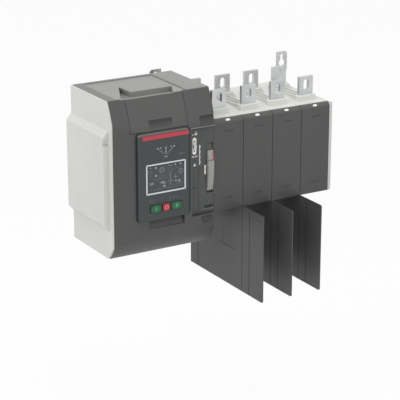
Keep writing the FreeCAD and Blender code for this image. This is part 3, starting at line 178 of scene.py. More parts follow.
class Finish(Nodes):
    """One material of the object, with the patterns and masks it is built from."""

    LEANING, LEVEL = 0.45, 0.9          # how far a face looks up
    BLUNT, SHARP = 0.01, 0.16           # how far a rounded normal turns from the face's own

    def __init__(self, name):
        self.material = bpy.data.materials.new(name)
        super().__init__(self.material)
        self.place = self.node("ShaderNodeTexCoord", out="Object")

    def noise(self, scale, detail=2.0, rough=0.5, place=None):
        return self.node("ShaderNodeTexNoise", None,
                         {"Vector": place or self.place, "Scale": scale, "Detail": detail,
                          "Roughness": rough})

    def stretched(self, x, y, z):
        """The place, scaled along each axis, for brushed or fibrous patterns."""
        return self.node("ShaderNodeMapping", None, {"Vector": self.place, "Scale": (x, y, z)})

    def axis(self, index):
        """The place along one axis: 0, 1 or 2 for X, Y or Z."""
        return self.node("ShaderNodeSeparateXYZ", None, {0: self.place}, index)

    def mix(self, mask, low, high):
        """One colour where the mask is 0 and the other where it is 1."""
        return self.node("ShaderNodeMix", {"data_type": "RGBA"}, {0: mask, 6: low, 7: high}, 2)

    def upward(self):
        """1 on faces that look up, 0 on upright ones."""
        true_normal = self.node("ShaderNodeNewGeometry", out="Normal")
        height = self.node("ShaderNodeSeparateXYZ", None, {0: true_normal}, "Z")
        return height.between(self.LEANING, self.LEVEL)

    def inside(self, index, low, high, soft=0.8 * MM):
        """1 between two planes across one axis."""
        along = self.axis(index)
        return along.between(low, low + soft) * (1 - along.between(high - soft, high))

    def round_normal(self, radius):
        """The normal, rounded over at the edges."""
        return self.node("ShaderNodeBevel", {"samples": 4}, {"Radius": radius})

    def edge(self, radius):
        """1 near sharp edges, 0 on the flats."""
        rounded = self.round_normal(radius)
        true_normal = self.node("ShaderNodeNewGeometry", out="Normal")
        dot = self.node("ShaderNodeVectorMath", {"operation": "DOT_PRODUCT"},
                        {0: rounded, 1: true_normal}, "Value")
        return (1 - dot).between(self.BLUNT, self.SHARP)

    def bump(self, height, distance, strength, normal=None):
        inputs = {"Height": height, "Distance": distance, "Strength": strength}
        if normal is not None:
            inputs["Normal"] = normal
        return self.node("ShaderNodeBump", None, inputs)

    def surface(self, **inputs):
        """The shader, with its sockets named by words joined with underscores."""
        named = {key.replace("_", " "): value for key, value in inputs.items()}
        shader = self.node("ShaderNodeBsdfPrincipled", None, named)
        self.node("ShaderNodeOutputMaterial", None, {"Surface": shader})
        return self.material


def srgb(red, green, blue):
    """A colour written as it is seen, from 0 to 255, as the shader's linear values."""
    def linear(part):
        part /= 255
        return part / 12.92 if part <= 0.04045 else ((part + 0.055) / 1.055) ** 2.4
    return (linear(red), linear(green), linear(blue), 1.0)


def scaled(colour, factor):
    return tuple(min(1.0, part * factor) for part in colour[:3]) + (1.0,)


def halfway(first, second):
    return tuple((a + b) / 2 for a, b in zip(first, second))


# ---- finishes ---------------------------------------------------------------------------
def settle_dust_and_top_light(f, body, amount):
    """Pale dust and a painted top light on upward faces near the top, less left of the lid, and
    painted light on the walls of the lid's grip.
    """
    dust_and_light_mask = f.upward() * f.axis(2).between(DUST_AND_LIGHT_FROM, DUST_AND_LIGHT_FULL)
    dust_and_light_mask = dust_and_light_mask * (amount - 0.15 + 0.3 * f.noise(26.0, 4.0, 0.6))
    dust_and_light_mask = dust_and_light_mask * f.axis(0).between(LID_LOW.x - 3 * MM, LID_LOW.x - 1 * MM, 0.45, 1.0)
    # Painted top light mixed with pale dust: upward faces are made paler.
    body = f.mix(dust_and_light_mask, body, srgb(150, 150, 148))
    # Painted light: the walls in the lid's grip are made paler, where the recess would be dark.
    grip_light = f.axis(2).between(GRIP_LOW, GRIP_LOW + 1.5 * MM)
    grip_light = grip_light * f.axis(1).between(GRIP_EDGE, GRIP_EDGE + 3 * MM)
    return f.mix(grip_light * (1 - f.upward()) * 0.55, body, srgb(170, 170, 168))


def draw_seams(f, body, colour, seams):
    """A fine dark line in the joint between two mouldings."""
    half, soft = 0.45 * MM, 0.3 * MM
    for seam_x in seams:
        line = f.inside(0, seam_x - half, seam_x + half, soft)
        body = f.mix(line * 0.6, body, scaled(colour, 0.3))
    return body


def shade_scoops(f, body, scoops):
    """The finger scoops are darker, most of all under their upper edge."""
    for left, right, foot, top, face in scoops:
        sunk = f.axis(1).between(face + 0.3 * MM, face + 0.9 * MM)
        shade = f.axis(2).between(foot, top, 0.3, 0.86)
        pocket = f.inside(0, left, right) * f.inside(2, foot, top, 0.3 * MM) * sunk
        body = f.mix(pocket * shade, body, srgb(16, 16, 16))
    return body


def moulded(name, colour, roughness, dust_and_light=0.0, scoops=(), seams=(), shine=0.42):
    """Injection-moulded plastic with a fine spark-eroded grain, smoother along its worn edges,
    with a painted highlight along them.
    """
    f = Finish(name)
    drift = f.noise(9.0, 3.0)
    speck = f.noise(420.0, 2.0, 0.7)
    tone = drift.between(0.3, 0.7) * 0.6 + speck * 0.4
    body = f.mix(tone, scaled(colour, 0.94), scaled(colour, 1.05))
    rim = f.edge(0.7 * MM)
    # Painted highlight along the edges.
    body = f.mix(rim * 0.35, body, scaled(colour, 1.45))
    # Dust and a painted top light on upward faces.
    if dust_and_light:
        body = settle_dust_and_top_light(f, body, dust_and_light)
    body = draw_seams(f, body, colour, seams)
    body = shade_scoops(f, body, scoops)
    rough = roughness - 0.06 + 0.10 * f.noise(60.0, 4.0, 0.6) + 0.05 * speck - 0.08 * rim
    pits = f.noise(1700.0, 3.0, 0.65)
    flow = f.noise(22.0, 2.0)
    normal = f.bump(pits + 0.5 * flow, 0.04 * MM, 0.55, f.round_normal(0.4 * MM))
    return f.surface(Base_Color=body, Roughness=rough, Normal=normal, Specular_IOR_Level=shine)


def plated(name, colour, along, roughness):
    """Rolled and plated metal: fine lines along the rolling, faint stains and scratches."""
    f = Finish(name)
    lines = f.noise(1.0, 3.0, 0.6, f.stretched(*(900 * part for part in along)))
    stain = f.noise(38.0, 5.0, 0.6)
    cloud = f.noise(140.0, 3.0, 0.5)
    rim = f.edge(0.6 * MM)
    body = f.mix(stain.between(0.42, 0.72), colour, scaled(colour, 0.82))
    # Painted highlight along the edges.
    body = f.mix(rim * 0.5, body, scaled(colour, 1.18))
    rough = (roughness + 0.16 * (lines - 0.5) + 0.16 * (cloud - 0.5)
             + 0.12 * stain.between(0.45, 0.75))
    normal = f.bump(lines + 0.4 * cloud, 0.03 * MM, 0.5, f.round_normal(0.3 * MM))
    return f.surface(Base_Color=body, Metallic=1.0, Roughness=rough, Normal=normal)


def barrier_sheet(name, colour, grooves, dark_reflections):
    """Glass-filled insulating sheet: short fibres both ways and a low sheen, with painted shade in
    its grooves, painted dark reflections of the terminals and a painted highlight along its edges.
    """
    f = Finish(name)
    groove_half, groove_soft = 2.2 * MM, 1.4 * MM
    up = f.noise(1.0, 3.0, 0.7, f.stretched(600, 90, 900))
    over = f.noise(1.0, 3.0, 0.7, f.stretched(600, 900, 90))
    fibre = up.between(0.5, 0.75).most(over.between(0.5, 0.75))
    cloud = f.noise(14.0, 3.0)
    body = f.mix(cloud, scaled(colour, 0.92), scaled(colour, 1.07))
    body = f.mix(fibre * 0.22, body, scaled(colour, 1.35))
    # Painted shade in the grooves across the sheet.
    for groove_y in grooves:
        groove = f.inside(1, groove_y - groove_half, groove_y + groove_half, groove_soft)
        body = f.mix(groove * 0.5, body, scaled(colour, 0.42))
    # Painted dark reflections of the load terminals, in upright streaks.
    for front, back, foot, top in dark_reflections:
        dark_reflection = f.inside(1, front, back, 2 * MM) * f.inside(2, foot, top, 5 * MM)
        body = f.mix(dark_reflection * 0.45, body, scaled(colour, 0.42))
    rim = f.edge(0.6 * MM)
    # Painted highlight along the edges.
    body = f.mix(rim * 0.5, body, scaled(colour, 1.7))
    rough = 0.5 + 0.12 * (cloud - 0.5) - 0.08 * fibre
    normal = f.bump(fibre + 0.5 * f.noise(900.0), 0.03 * MM, 0.5)
    return f.surface(Base_Color=body, Roughness=rough, Normal=normal)


def glossy(name, colour, roughness=0.28, coat=0.0):
    """Smooth plastic with faint handling marks."""
    f = Finish(name)
    smear = f.noise(70.0, 4.0, 0.6)
    rim = f.edge(0.5 * MM)
    body = f.mix(f.noise(30.0), scaled(colour, 0.94), scaled(colour, 1.06))
    # Painted highlight along the edges.
    body = f.mix(rim * 0.3, body, scaled(colour, 1.35))
    rough = roughness + 0.14 * (smear - 0.4)
    normal = f.bump(f.noise(1200.0), 0.01 * MM, 0.3, f.round_normal(0.3 * MM))
    return f.surface(Base_Color=body, Roughness=rough, Normal=normal, Coat_Weight=coat,
                     Coat_Roughness=0.12)


def operator_panel(name, colour, border_z):
    """The satin face of the operator panel. Its upper border is paler."""
    f = Finish(name)
    speck = f.noise(520.0, 2.0, 0.7)
    drift = f.noise(11.0, 3.0)
    body = f.mix(drift * 0.7 + speck * 0.3, scaled(colour, 0.93), scaled(colour, 1.06))
    border = f.axis(2).between(border_z, border_z + 0.5 * MM)
    body = f.mix(border * 0.85, body, srgb(102, 97, 93))
    rim = f.edge(0.8 * MM)
    # Painted highlight along the edges.
    body = f.mix(rim * 0.35, body, scaled(colour, 1.5))
    rough = 0.36 + 0.12 * f.noise(75.0, 4.0, 0.6) + 0.04 * speck
    normal = f.bump(f.noise(2100.0, 2.0, 0.6), 0.02 * MM, 0.5, f.round_normal(0.5 * MM))
    return f.surface(Base_Color=body, Roughness=rough, Normal=normal, Specular_IOR_Level=0.45)


def liquid_crystal(name, low, high):
    """A dim display behind its pane: a soft glow in the middle and a fine dot raster."""
    f = Finish(name)
    x, z = f.axis(0), f.axis(2)
    over = (x - (low.x + high.x) / 2) / (high.x - low.x)
    up = (z - (low.z + high.z) / 2) / (high.z - low.z)
    glow = (1 - (over * over + up * up) * 3).most(0)
    raster = f.node("ShaderNodeTexVoronoi", {"feature": "F1"},
                    {"Vector": f.place, "Scale": 1400.0})
    cloud = f.noise(45.0, 3.0)
    body = f.mix(glow * 0.6 + cloud * 0.3, srgb(34, 39, 42), srgb(56, 62, 65))
    body = f.mix(raster * 0.15, body, srgb(28, 32, 36))
    rough = 0.17 + 0.12 * f.noise(60.0, 4.0, 0.6)
    return f.surface(Base_Color=body, Roughness=rough, Coat_Weight=0.5, Coat_Roughness=0.1)


def key_cap(name, colour, low, high):
    """A lit key: clear in the middle, darker and greyer towards its rim."""
    f = Finish(name)
    middle = (low + high) / 2
    over = (f.axis(0) - middle.x) / (high.x - low.x)
    up = (f.axis(2) - middle.z) / (high.z - low.z)
    far = (over * over * 1.1 + up * up).between(0.03, 0.27)
    body = f.mix(far, scaled(colour, 1.2), halfway(scaled(colour, 0.45), srgb(50, 56, 56)))
    body = f.mix(f.noise(300.0, 3.0) * 0.2, body, scaled(colour, 0.8))
    rough = 0.36 + 0.12 * f.noise(80.0, 4.0, 0.6)
    normal = f.bump(f.noise(1500.0), 0.01 * MM, 0.3, f.round_normal(0.4 * MM))
    return f.surface(Base_Color=body, Roughness=rough, Normal=normal)


def ink(name, colour):
    """Pad-printed ink, a little thin in places."""
    f = Finish(name)
    thin = f.noise(260.0, 3.0, 0.7)
    body = f.mix(thin.between(0.35, 0.75), colour, scaled(colour, 0.8))
    rough = 0.5 + 0.1 * (f.noise(900.0) - 0.5)
    return f.surface(Base_Color=body, Roughness=rough)


# Finishes by the material slots of the frame.
FINISHES = {
    "pole_moulding": moulded("pole_moulding", srgb(213, 214, 209), 0.5, seams=POLE_SEAMS),
    "light_cover": moulded("light_cover", srgb(200, 201, 196), 0.46),
    # The dark covers carry dust and a painted top light on their upward faces.
    "dark_cover": moulded("dark_cover", srgb(69, 69, 68), 0.40, dust_and_light=0.62, shine=0.55,
                          scoops=(PANEL_SCOOP, ARM_SCOOP)),
    "lid_cover": moulded("lid_cover", srgb(72, 72, 71), 0.40, dust_and_light=0.72, shine=0.55,
                         scoops=(LID_SCOOP,)),
    "panel_grey": operator_panel("panel_grey", srgb(56, 62, 63), STRIP_TOP + 0.3 * MM),
    "black_moulding": moulded("black_moulding", srgb(44, 44, 44), 0.5),
    "barrier_board": barrier_sheet("barrier_board", srgb(69, 69, 69), BARRIER_GROOVES,
                                   BARRIER_DARK_REFLECTIONS),
    "plated_terminal": plated("plated_terminal", srgb(200, 202, 203), (1, 1, 0.06), 0.36),
    "copper_contact": plated("copper_contact", srgb(202, 132, 92), (1, 0.1, 1), 0.32),
    "zinc_steel": plated("zinc_steel", srgb(196, 198, 200), (0.1, 1, 1), 0.34),
    "handle_grey": moulded("handle_grey", srgb(148, 148, 144), 0.45),
    "white_trim": glossy("white_trim", srgb(236, 236, 232)),
    "red_trim": glossy("red_trim", srgb(180, 40, 62), 0.3, 0.3),
    "green_key": key_cap("green_key", srgb(24, 92, 54), *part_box("key_one")),
    "red_key": key_cap("red_key", srgb(166, 46, 58), *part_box("key_off")),
    "display_glass": liquid_crystal("display_glass", PANE_LOW, PANE_HIGH),
    "circuit_board": glossy("circuit_board", srgb(30, 92, 52), 0.4),
}
# Nodes that look different from the rest of their slot.
OWN_FINISHES = {
    "key_two": key_cap("green_key_right", srgb(24, 92, 54), *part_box("key_two")),
    "selector_knob": glossy("selector_white", srgb(214, 215, 213), 0.34),
    "mechanism_panel": moulded("mechanism_plate", srgb(70, 73, 71), 0.42, shine=0.5),
}
# Finishes of the pieces that are added here.
TRIMS = {
    "frame_silver": glossy("frame_silver", srgb(208, 213, 216), 0.34),
    # Painted shade, as a dark ring round the operator panel.
    "shade_ring_dark": moulded("shade_ring_dark", srgb(38, 41, 43), 0.6),
    # Painted shade, as a thin dark sheet under the mechanism's panel.
    "shade_sheet_grey": moulded("shade_sheet_grey", srgb(58, 60, 58), 0.5),
    # A painted highlight, as pale beads along edges.
    "edge_highlight_bead": moulded("edge_highlight_bead", srgb(128, 128, 126), 0.4),
    "flag_white": glossy("flag_white", srgb(222, 223, 220), 0.2),
}
PRINTS = {name: ink(name, srgb(*colour)) for name, colour in (
    ("white_ink", (226, 228, 228)),
    ("pale_ink", (176, 181, 182)),
    ("soft_ink", (140, 146, 148)),
    ("dim_ink", (106, 111, 113)),
    ("dark_ink", (40, 42, 42)),
    ("pale_green", (120, 190, 152)),
    ("pale_red", (236, 150, 156)),
)}


def dress_frame():
    """Every node of the frame takes the finish of its own slot, or one of its own."""
    for row in frame["record"]["subparts"]:
        node = NODES[row["node"]]
        node.data.materials.clear()
        node.data.materials.append(OWN_FINISHES.get(row["node"]) or FINISHES[row["material_slot"]])


dress_frame()


# ---- small pieces and reworked faces ------------------------------------------------------
QUARTER_TURN = math.pi / 2


def add_piece(name, bm, material, body, instead_of=()):
    mesh = bpy.data.meshes.new(name)
    bm.to_mesh(mesh)
    bm.free()
    mesh.materials.append(material)
    piece = bpy.data.objects.new(name, mesh)
    bpy.context.scene.collection.objects.link(piece)
    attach(piece, body)
    if instead_of:
        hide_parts(*instead_of)


def bevel_edges(bm, edges, offset, segments):
    bmesh.ops.bevel(bm, geom=edges, offset=offset, affect="EDGES", segments=segments, profile=0.5,
                    material=-1)


def block(low, high, round_by=0.0):
    """A box between two corners, with its edges rounded."""
    bm = bmesh.new()
    size, middle = high - low, (high + low) / 2
    shape = Matrix.Translation(middle) @ Matrix.Diagonal((*size, 1))
    bmesh.ops.create_cube(bm, size=1.0, matrix=shape)
    if round_by:
        bevel_edges(bm, list(bm.edges), round_by, 2)
    return bm


def flat_ring(low, high, width, corner, wide_right=0.0):
    """A flat frame that looks along -Y, with rounded corners. Its right side may be wider."""
    bm = block(low, high)
    depth = high.y - low.y
    across = [e for e in bm.edges if abs(e.verts[0].co.y - e.verts[1].co.y) > depth / 2]
    bevel_edges(bm, across, corner, 5)
    faces = [f for f in bm.faces if abs(f.normal.y) > 0.9]
    bmesh.ops.inset_individual(bm, faces=faces, thickness=width, use_even_offset=True)
    middle = (low.x + high.x) / 2
    for vert in {v for f in faces for v in f.verts}:
        if vert.co.x > middle:
            vert.co.x -= wide_right
    inner = [e for f in faces for e in f.edges]
    bmesh.ops.delete(bm, geom=faces, context="FACES_ONLY")
    bmesh.ops.bridge_loops(bm, edges=inner)
    bmesh.ops.recalc_face_normals(bm, faces=bm.faces)
    return bm


def rework_mechanism_panel():
    """The panel's plate. The ends of its handle slot slope in towards the front."""
    front_end = 36.9 * MM
    shield_past_slot = 19.4 * MM
    back_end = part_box("handle_shield")[1].z - shield_past_slot
    slot_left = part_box("manual_handle")[0].x - 1 * MM
    front = PANEL_LOW.y + 0.5 * MM
    bm = bmesh.new()
    bm.from_mesh(NODES["mechanism_panel"].data)
    bmesh.ops.remove_doubles(bm, verts=bm.verts, dist=0.002 * MM)
    for vert in bm.verts:
        at_end = abs(abs(vert.co.z) - back_end) < 0.3 * MM
        if at_end and vert.co.x > slot_left and vert.co.y < front:
            vert.co.z = math.copysign(front_end, vert.co.z)
    add_piece("mechanism_plate", bm, OWN_FINISHES["mechanism_panel"], "switch",
              ("mechanism_panel",))


def rework_display_frame():
    bm = flat_ring(*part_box("display_frame"), width=1.9 * MM, corner=0.8 * MM)
    add_piece("display_bezel", bm, TRIMS["frame_silver"], "switch",
              ("display_frame",))


def cap_selector():
    """The slider's white cap. It covers most of the slot and slides over the bezel."""
    low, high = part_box("selector_knob")
    middle, half = (low + high) / 2, Vector((2.2, 0, 6.3)) * MM
    foot = Vector((middle.x, BEZEL_LOW.y - 0.8 * MM, middle.z)) - half
    head = Vector((middle.x, BEZEL_LOW.y - 0.15 * MM, middle.z)) + half
    add_piece("selector_cap", block(foot, head, 0.25 * MM), OWN_FINISHES["selector_knob"],
              "selector")


def add_back_louvres(low, high):
    """Two columns of sloping slats on the module's back tray."""
    slats, pitch, slope = 9, 9 * MM, math.radians(24)
    slat = Matrix.Rotation(slope, 4, "X") @ Matrix.Diagonal((34 * MM, 1.4 * MM, 3.4 * MM, 1))
    bm = bmesh.new()
    for column in (0.3, 0.7):
        for step in range(slats):
            spot = Vector((low.x + column * (high.x - low.x), high.y + 0.5 * MM,
                           (low.z + high.z) / 2 + (step - slats // 2) * pitch))
            bmesh.ops.create_cube(bm, size=1.0, matrix=Matrix.Translation(spot) @ slat)
    add_piece("back_louvres", bm, FINISHES["black_moulding"], "switch")


def add_back_screws(low, high):
    """A screw with a sunk drive at each corner of the module's back tray."""
    inset = 8 * MM
    turn = Matrix.Rotation(QUARTER_TURN, 4, "X")
    bm = bmesh.new()
    for x in (low.x + inset, high.x - inset):
        for z in (low.z + inset, high.z - inset):
            spot = Matrix.Translation((x, high.y + 0.7 * MM, z))
            bmesh.ops.create_cone(bm, cap_ends=True, segments=24, radius1=2.6 * MM,
                                  radius2=3.2 * MM, depth=1.8 * MM, matrix=spot @ turn)
    heads = [f for f in bm.faces if f.normal.y > 0.9]
    bmesh.ops.inset_individual(bm, faces=heads, thickness=1.3 * MM, use_even_offset=True)
    drive = [v for f in heads for v in f.verts]
    bmesh.ops.translate(bm, verts=drive, vec=(0, -1.0 * MM, 0))
    bmesh.ops.recalc_face_normals(bm, faces=bm.faces)
    add_piece("back_screws", bm, FINISHES["zinc_steel"], "switch")


def line_selector_slot():
    """White cheeks inside the selector's slot, clear of the slider's neck."""
    middle = (BEZEL_LOW.x + BEZEL_HIGH.x) / 2
    inner, outer, end, depth = 1.02 * MM, 1.2 * MM, 5.2 * MM, 3.4 * MM
    for side, name in ((-1, "selector_cheek_left"), (1, "selector_cheek_right")):
        left, right = sorted((middle + side * outer, middle + side * inner))
        cheek = block(Vector((left, BEZEL_LOW.y, BEZEL_LOW.z + end)),
                      Vector((right, BEZEL_LOW.y + depth, BEZEL_HIGH.z - end)))
        add_piece(name, cheek, TRIMS["flag_white"], "switch")


def add_lower_shade_sheet():
    """A thin dark sheet of painted shade under the mechanism's panel, narrower at its foot."""
    low = Vector((PANEL_LOW.x + 15 * MM, COVER_LOW.y - 0.12 * MM, PANEL_LOW.z - 12.5 * MM))
    high = Vector((COVER_HIGH.x - 3 * MM, COVER_LOW.y + 0.3 * MM, PANEL_LOW.z - 3.2 * MM))
    middle, taper = (low + high) / 2, 4 * MM
    bm = block(low, high)
    for vert in bm.verts:
        if vert.co.z < middle.z:
            vert.co.x += taper if vert.co.x < middle.x else -taper
    bevel_edges(bm, list(bm.edges), 0.1 * MM, 1)
    add_piece("lower_shade_sheet", bm, TRIMS["shade_sheet_grey"], "switch")


def add_panel_shade_ring():
    """A dark ring of painted shade in the joint round the operator panel, wider at the mechanism's
    side.
    """
    low = Vector((HMI_LOW.x - 0.9 * MM, COVER_LOW.y - 0.05 * MM, HMI_LOW.z - 0.7 * MM))
    high = Vector((HMI_HIGH.x + 3.6 * MM, COVER_LOW.y + 0.9 * MM, HMI_HIGH.z + 0.7 * MM))
    bm = flat_ring(low, high, width=0.75 * MM, corner=5.4 * MM, wide_right=2.8 * MM)
    add_piece("panel_shade_ring", bm, TRIMS["shade_ring_dark"], "switch")


def add_flag_pane():
    """The white pane of the position window, level with the panel."""
    low = Vector((-115.2, -148.1, -8.9)) * MM
    high = Vector((-112.7, -145.6, 4.9)) * MM
    add_piece("flag_pane", block(low, high, 0.3 * MM), TRIMS["flag_white"], "switch")


def add_highlight_bead(name, left, right, up, face):
    """A pale half-round bead that runs along X, half sunk in the face: a painted highlight along
    an edge.
    """
    turn = Matrix.Rotation(QUARTER_TURN, 4, "Y")
    spot = Matrix.Translation(((left + right) / 2, face, up))
    bm = bmesh.new()
    bmesh.ops.create_cone(bm, cap_ends=True, segments=16, radius1=0.6 * MM, radius2=0.6 * MM,
                          depth=right - left, matrix=spot @ turn)
    add_piece(name, bm, TRIMS["edge_highlight_bead"], "switch")


rework_mechanism_panel()
rework_display_frame()
cap_selector()
add_back_louvres(*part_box("module_base"))
add_back_screws(*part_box("module_base"))
line_selector_slot()
add_lower_shade_sheet()
add_panel_shade_ring()
add_flag_pane()
# Painted highlights along the arm's lower edge over the panel and along the ledge under the lock
# slot.
add_highlight_bead("upper_highlight_bead", PANEL_LOW.x - 2.6 * MM, COVER_HIGH.x + 0.1 * MM, PANEL_HIGH.z + 1.3 * MM,
         COVER_LOW.y)
add_highlight_bead("lower_highlight_bead", -117.5 * MM, -100.7 * MM, -61.2 * MM, PANEL_LOW.y)


# ---- printed marks ----------------------------------------------------------------------
class Print:
    """Ink on a face that looks along -Y: closed plates a few hundredths of a millimetre thick.

    Places and sizes are millimetres to the right of the origin and above it.
    """

    THICK = 0.06 * MM
    FLAT_TO_UPRIGHT = Matrix.Rotation(QUARTER_TURN, 4, "X")

    def __init__(self, origin):
        self.bm = bmesh.new()
        self.origin = origin - Vector((0, self.THICK / 2, 0))

    def _place(self, x, z, turn=0.0):
        spot = self.origin + Vector((x, 0, z)) * MM
        return Matrix.Translation(spot) @ Matrix.Rotation(turn, 4, "Y")

    def _disc(self, place, radius, sides):
        bmesh.ops.create_cone(self.bm, cap_ends=True, segments=sides, radius1=radius * MM,
                              radius2=radius * MM, depth=self.THICK, matrix=place)

    def bar(self, x, z, wide, tall, turn=0.0):
        shape = Matrix.Diagonal((wide * MM, self.THICK, tall * MM, 1))
        bmesh.ops.create_cube(self.bm, size=1.0, matrix=self._place(x, z, turn) @ shape)

    def line(self, x0, z0, x1, z1, wide):
        length = math.hypot(x1 - x0, z1 - z0)
        turn = math.atan2(z0 - z1, x1 - x0)
        self.bar((x0 + x1) / 2, (z0 + z1) / 2, length, wide, turn)

    def dot(self, x, z, radius):
        self._disc(self._place(x, z) @ self.FLAT_TO_UPRIGHT, radius, 24)

    def ring(self, x, z, radius, wide, sides=24):
        corners = [(x + radius * math.cos(turn), z + radius * math.sin(turn))
                   for turn in (2 * math.pi * step / sides for step in range(sides + 1))]
        for start, end in zip(corners, corners[1:]):
            self.line(*start, *end, wide)

    def frame(self, x, z, wide, tall, line):
        for side in (-1, 1):
            self.bar(x + side * (wide - line) / 2, z, line, tall)
            self.bar(x, z + side * (tall - line) / 2, wide - line, line)

    def triangle(self, x, z, radius):
        """A triangle that points up."""
        upright = self._place(x, z, QUARTER_TURN) @ self.FLAT_TO_UPRIGHT
        self._disc(upright @ Matrix.Rotation(QUARTER_TURN, 4, "Z"), radius, 3)

    def word(self, text, x, z, tall, wide=1.0):
        curve = bpy.data.curves.new("lettering", "FONT")
        curve.body = text
        curve.size = 1.4 * tall * MM        # a figure stands about 0.7 of the letter size
        curve.align_x = "CENTER"
        curve.align_y = "CENTER"
        curve.extrude = self.THICK / 2
        curve.resolution_u = 3
        holder = bpy.data.objects.new("lettering", curve)
        mesh = bpy.data.meshes.new_from_object(holder)
        mesh.transform(self._place(x, z) @ self.FLAT_TO_UPRIGHT @ Matrix.Diagonal((wide, 1, 1, 1)))
        self.bm.from_mesh(mesh)
        bpy.data.objects.remove(holder)
        bpy.data.curves.remove(curve)
        bpy.data.meshes.remove(mesh)

    def piece(self, name, finish, body="switch", slot="white_trim"):
        """Makes one piece of all that is drawn so far."""
        bmesh.ops.remove_doubles(self.bm, verts=self.bm.verts, dist=0.001 * MM)
        bmesh.ops.recalc_face_normals(self.bm, faces=self.bm.faces)
        add_piece(name, self.bm, PRINTS[finish], body)


def print_supply_diagram():
    """Two supplies that join in one load, as rows of dots, above the display."""
    marks = Print(HMI_LOW)
    middle, top = 43.8, 104.4
    for side in (-1, 1):
        for step, radius in enumerate((1.1, 0.7, 0.9, 0.7)):
            marks.dot(middle + side * (13.2 - 2.9 * step), top - 2.5 * step, radius)
        marks.bar(middle + side * 8.4, top, 1.2, 2.2)
    marks.ring(middle, top - 0.4, 1.2, 0.6)
    marks.bar(middle, top - 3.2, 0.8, 2.4)
    marks.dot(middle, top - 5.8, 1.0)
    marks.bar(middle, top - 8.4, 1.4, 1.6)
    for step in (-1, 0, 1):
        marks.bar(middle + 1.7 * step, top - 13.2, 1.1, 1.7)
    marks.piece("supply_diagram", "pale_ink")
    legs = Print(HMI_LOW)
    for side in (-1, 1):
        legs.line(middle + side * 12.4, top - 1.0, middle + side * 2.4, top - 9.6, 0.4)
    legs.piece("supply_legs", "dim_ink")


def print_status_icon():
    """The faint upright icon and bracket at the right of the diagram."""
    marks = Print(HMI_LOW)
    marks.line(69.5, 107.0, 69.5, 100.0, 0.6)
    marks.dot(69.5, 105.2, 0.8)
    marks.line(65.2, 91.6, 69.3, 93.2, 0.5)
    marks.line(69.3, 93.2, 74.0, 91.4, 0.5)
    marks.bar(69.3, 91.5, 3.6, 0.9)
    marks.piece("status_icon", "dim_ink")


def print_display():
    """Plain figures and icons on the display, in three strengths."""
    bright = Print(PANE_LOW)
    for x, z, radius in ((14.7, 36.9, 1.3), (14.6, 25.3, 1.3), (45.9, 37.3, 1.1),
                         (54.0, 37.5, 1.1)):
        bright.dot(x, z, radius)
    bright.word("230", 7.3, 14.2, 3.2)
    bright.word("400", 25.3, 14.2, 3.2)
    bright.bar(46.4, 13.6, 2.4, 1.4)
    bright.ring(52.3, 12.5, 1.4, 0.8)
    bright.piece("display_figures_bright", "pale_ink")
    soft = Print(PANE_LOW)
    soft.dot(6.0, 37.6, 1.0)
    soft.ring(24.2, 32.5, 3.4, 0.8)
    soft.word("1", 24.2, 32.5, 3.4)
    for step, figure in enumerate("1234"):
        soft.word(figure, 6.4 + 4.8 * step, 5.4, 2.8)
    soft.bar(28.0, 8.5, 3.4, 3.4)
    soft.bar(28.0, 12.2, 6.0, 0.6)
    soft.line(37.8, 27.0, 37.8, 13.0, 0.7)
    soft.line(33.6, 14.6, 42.4, 14.6, 0.6)
    soft.bar(37.7, 23.0, 2.0, 1.4)
    soft.word("50", 37.8, 9.8, 2.4)
    soft.ring(54.4, 26.8, 3.4, 0.6)
    soft.word("2", 54.4, 26.8, 3.4)
    soft.word("00:00", 38.0, 37.4, 2.4)
    soft.line(46.2, 22.4, 46.2, 16.0, 0.6)
    soft.line(42.4, 19.4, 49.6, 19.4, 0.5)
    soft.piece("display_figures_soft", "soft_ink")
    dim = Print(PANE_LOW)
    dim.frame(5.6, 30.0, 5.0, 8.0, 0.5)
    dim.frame(24.2, 22.4, 7.4, 4.6, 0.5)
    dim.frame(37.7, 31.0, 6.0, 5.0, 0.5)
    dim.line(10.2, 20.0, 20.4, 20.0, 0.5)
    dim.line(31.0, 5.4, 58.0, 5.4, 0.5)
    for step in range(5):
        dim.bar(44.8 + 3.0 * step, 8.4, 1.4, 1.2)
    for step in range(4):
        dim.bar(47.0 + 3.2 * step, 32.4, 1.6, 0.7)
    dim.piece("display_figures_dim", "dim_ink")


def print_key_marks():
    """Short strokes over the keys, a line under them, and a figure on each key."""
    strokes = Print(HMI_LOW)
    for x, tall in ((18.2, 5.0), (22.8, 5.0), (27.2, 2.4), (36.8, 4.4), (50.2, 5.0), (55.8, 5.0),
                    (60.4, 2.4)):
        strokes.bar(x, 29.8, 0.6, tall)
    strokes.line(14.2, 9.2, 23.6, 9.2, 0.4)
    strokes.piece("key_strokes", "dim_ink")
    for key, figure, finish in (("key_one", "I", "pale_green"), ("key_off", "O", "pale_red"),
                                ("key_two", "II", "pale_green")):
        low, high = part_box(key)
        mark = Print(Vector(((low.x + high.x) / 2, low.y, (low.z + high.z) / 2)))
        mark.word(figure, 0, 0, 5.2, 1.2)
        mark.piece(key + "_figure", finish, key)


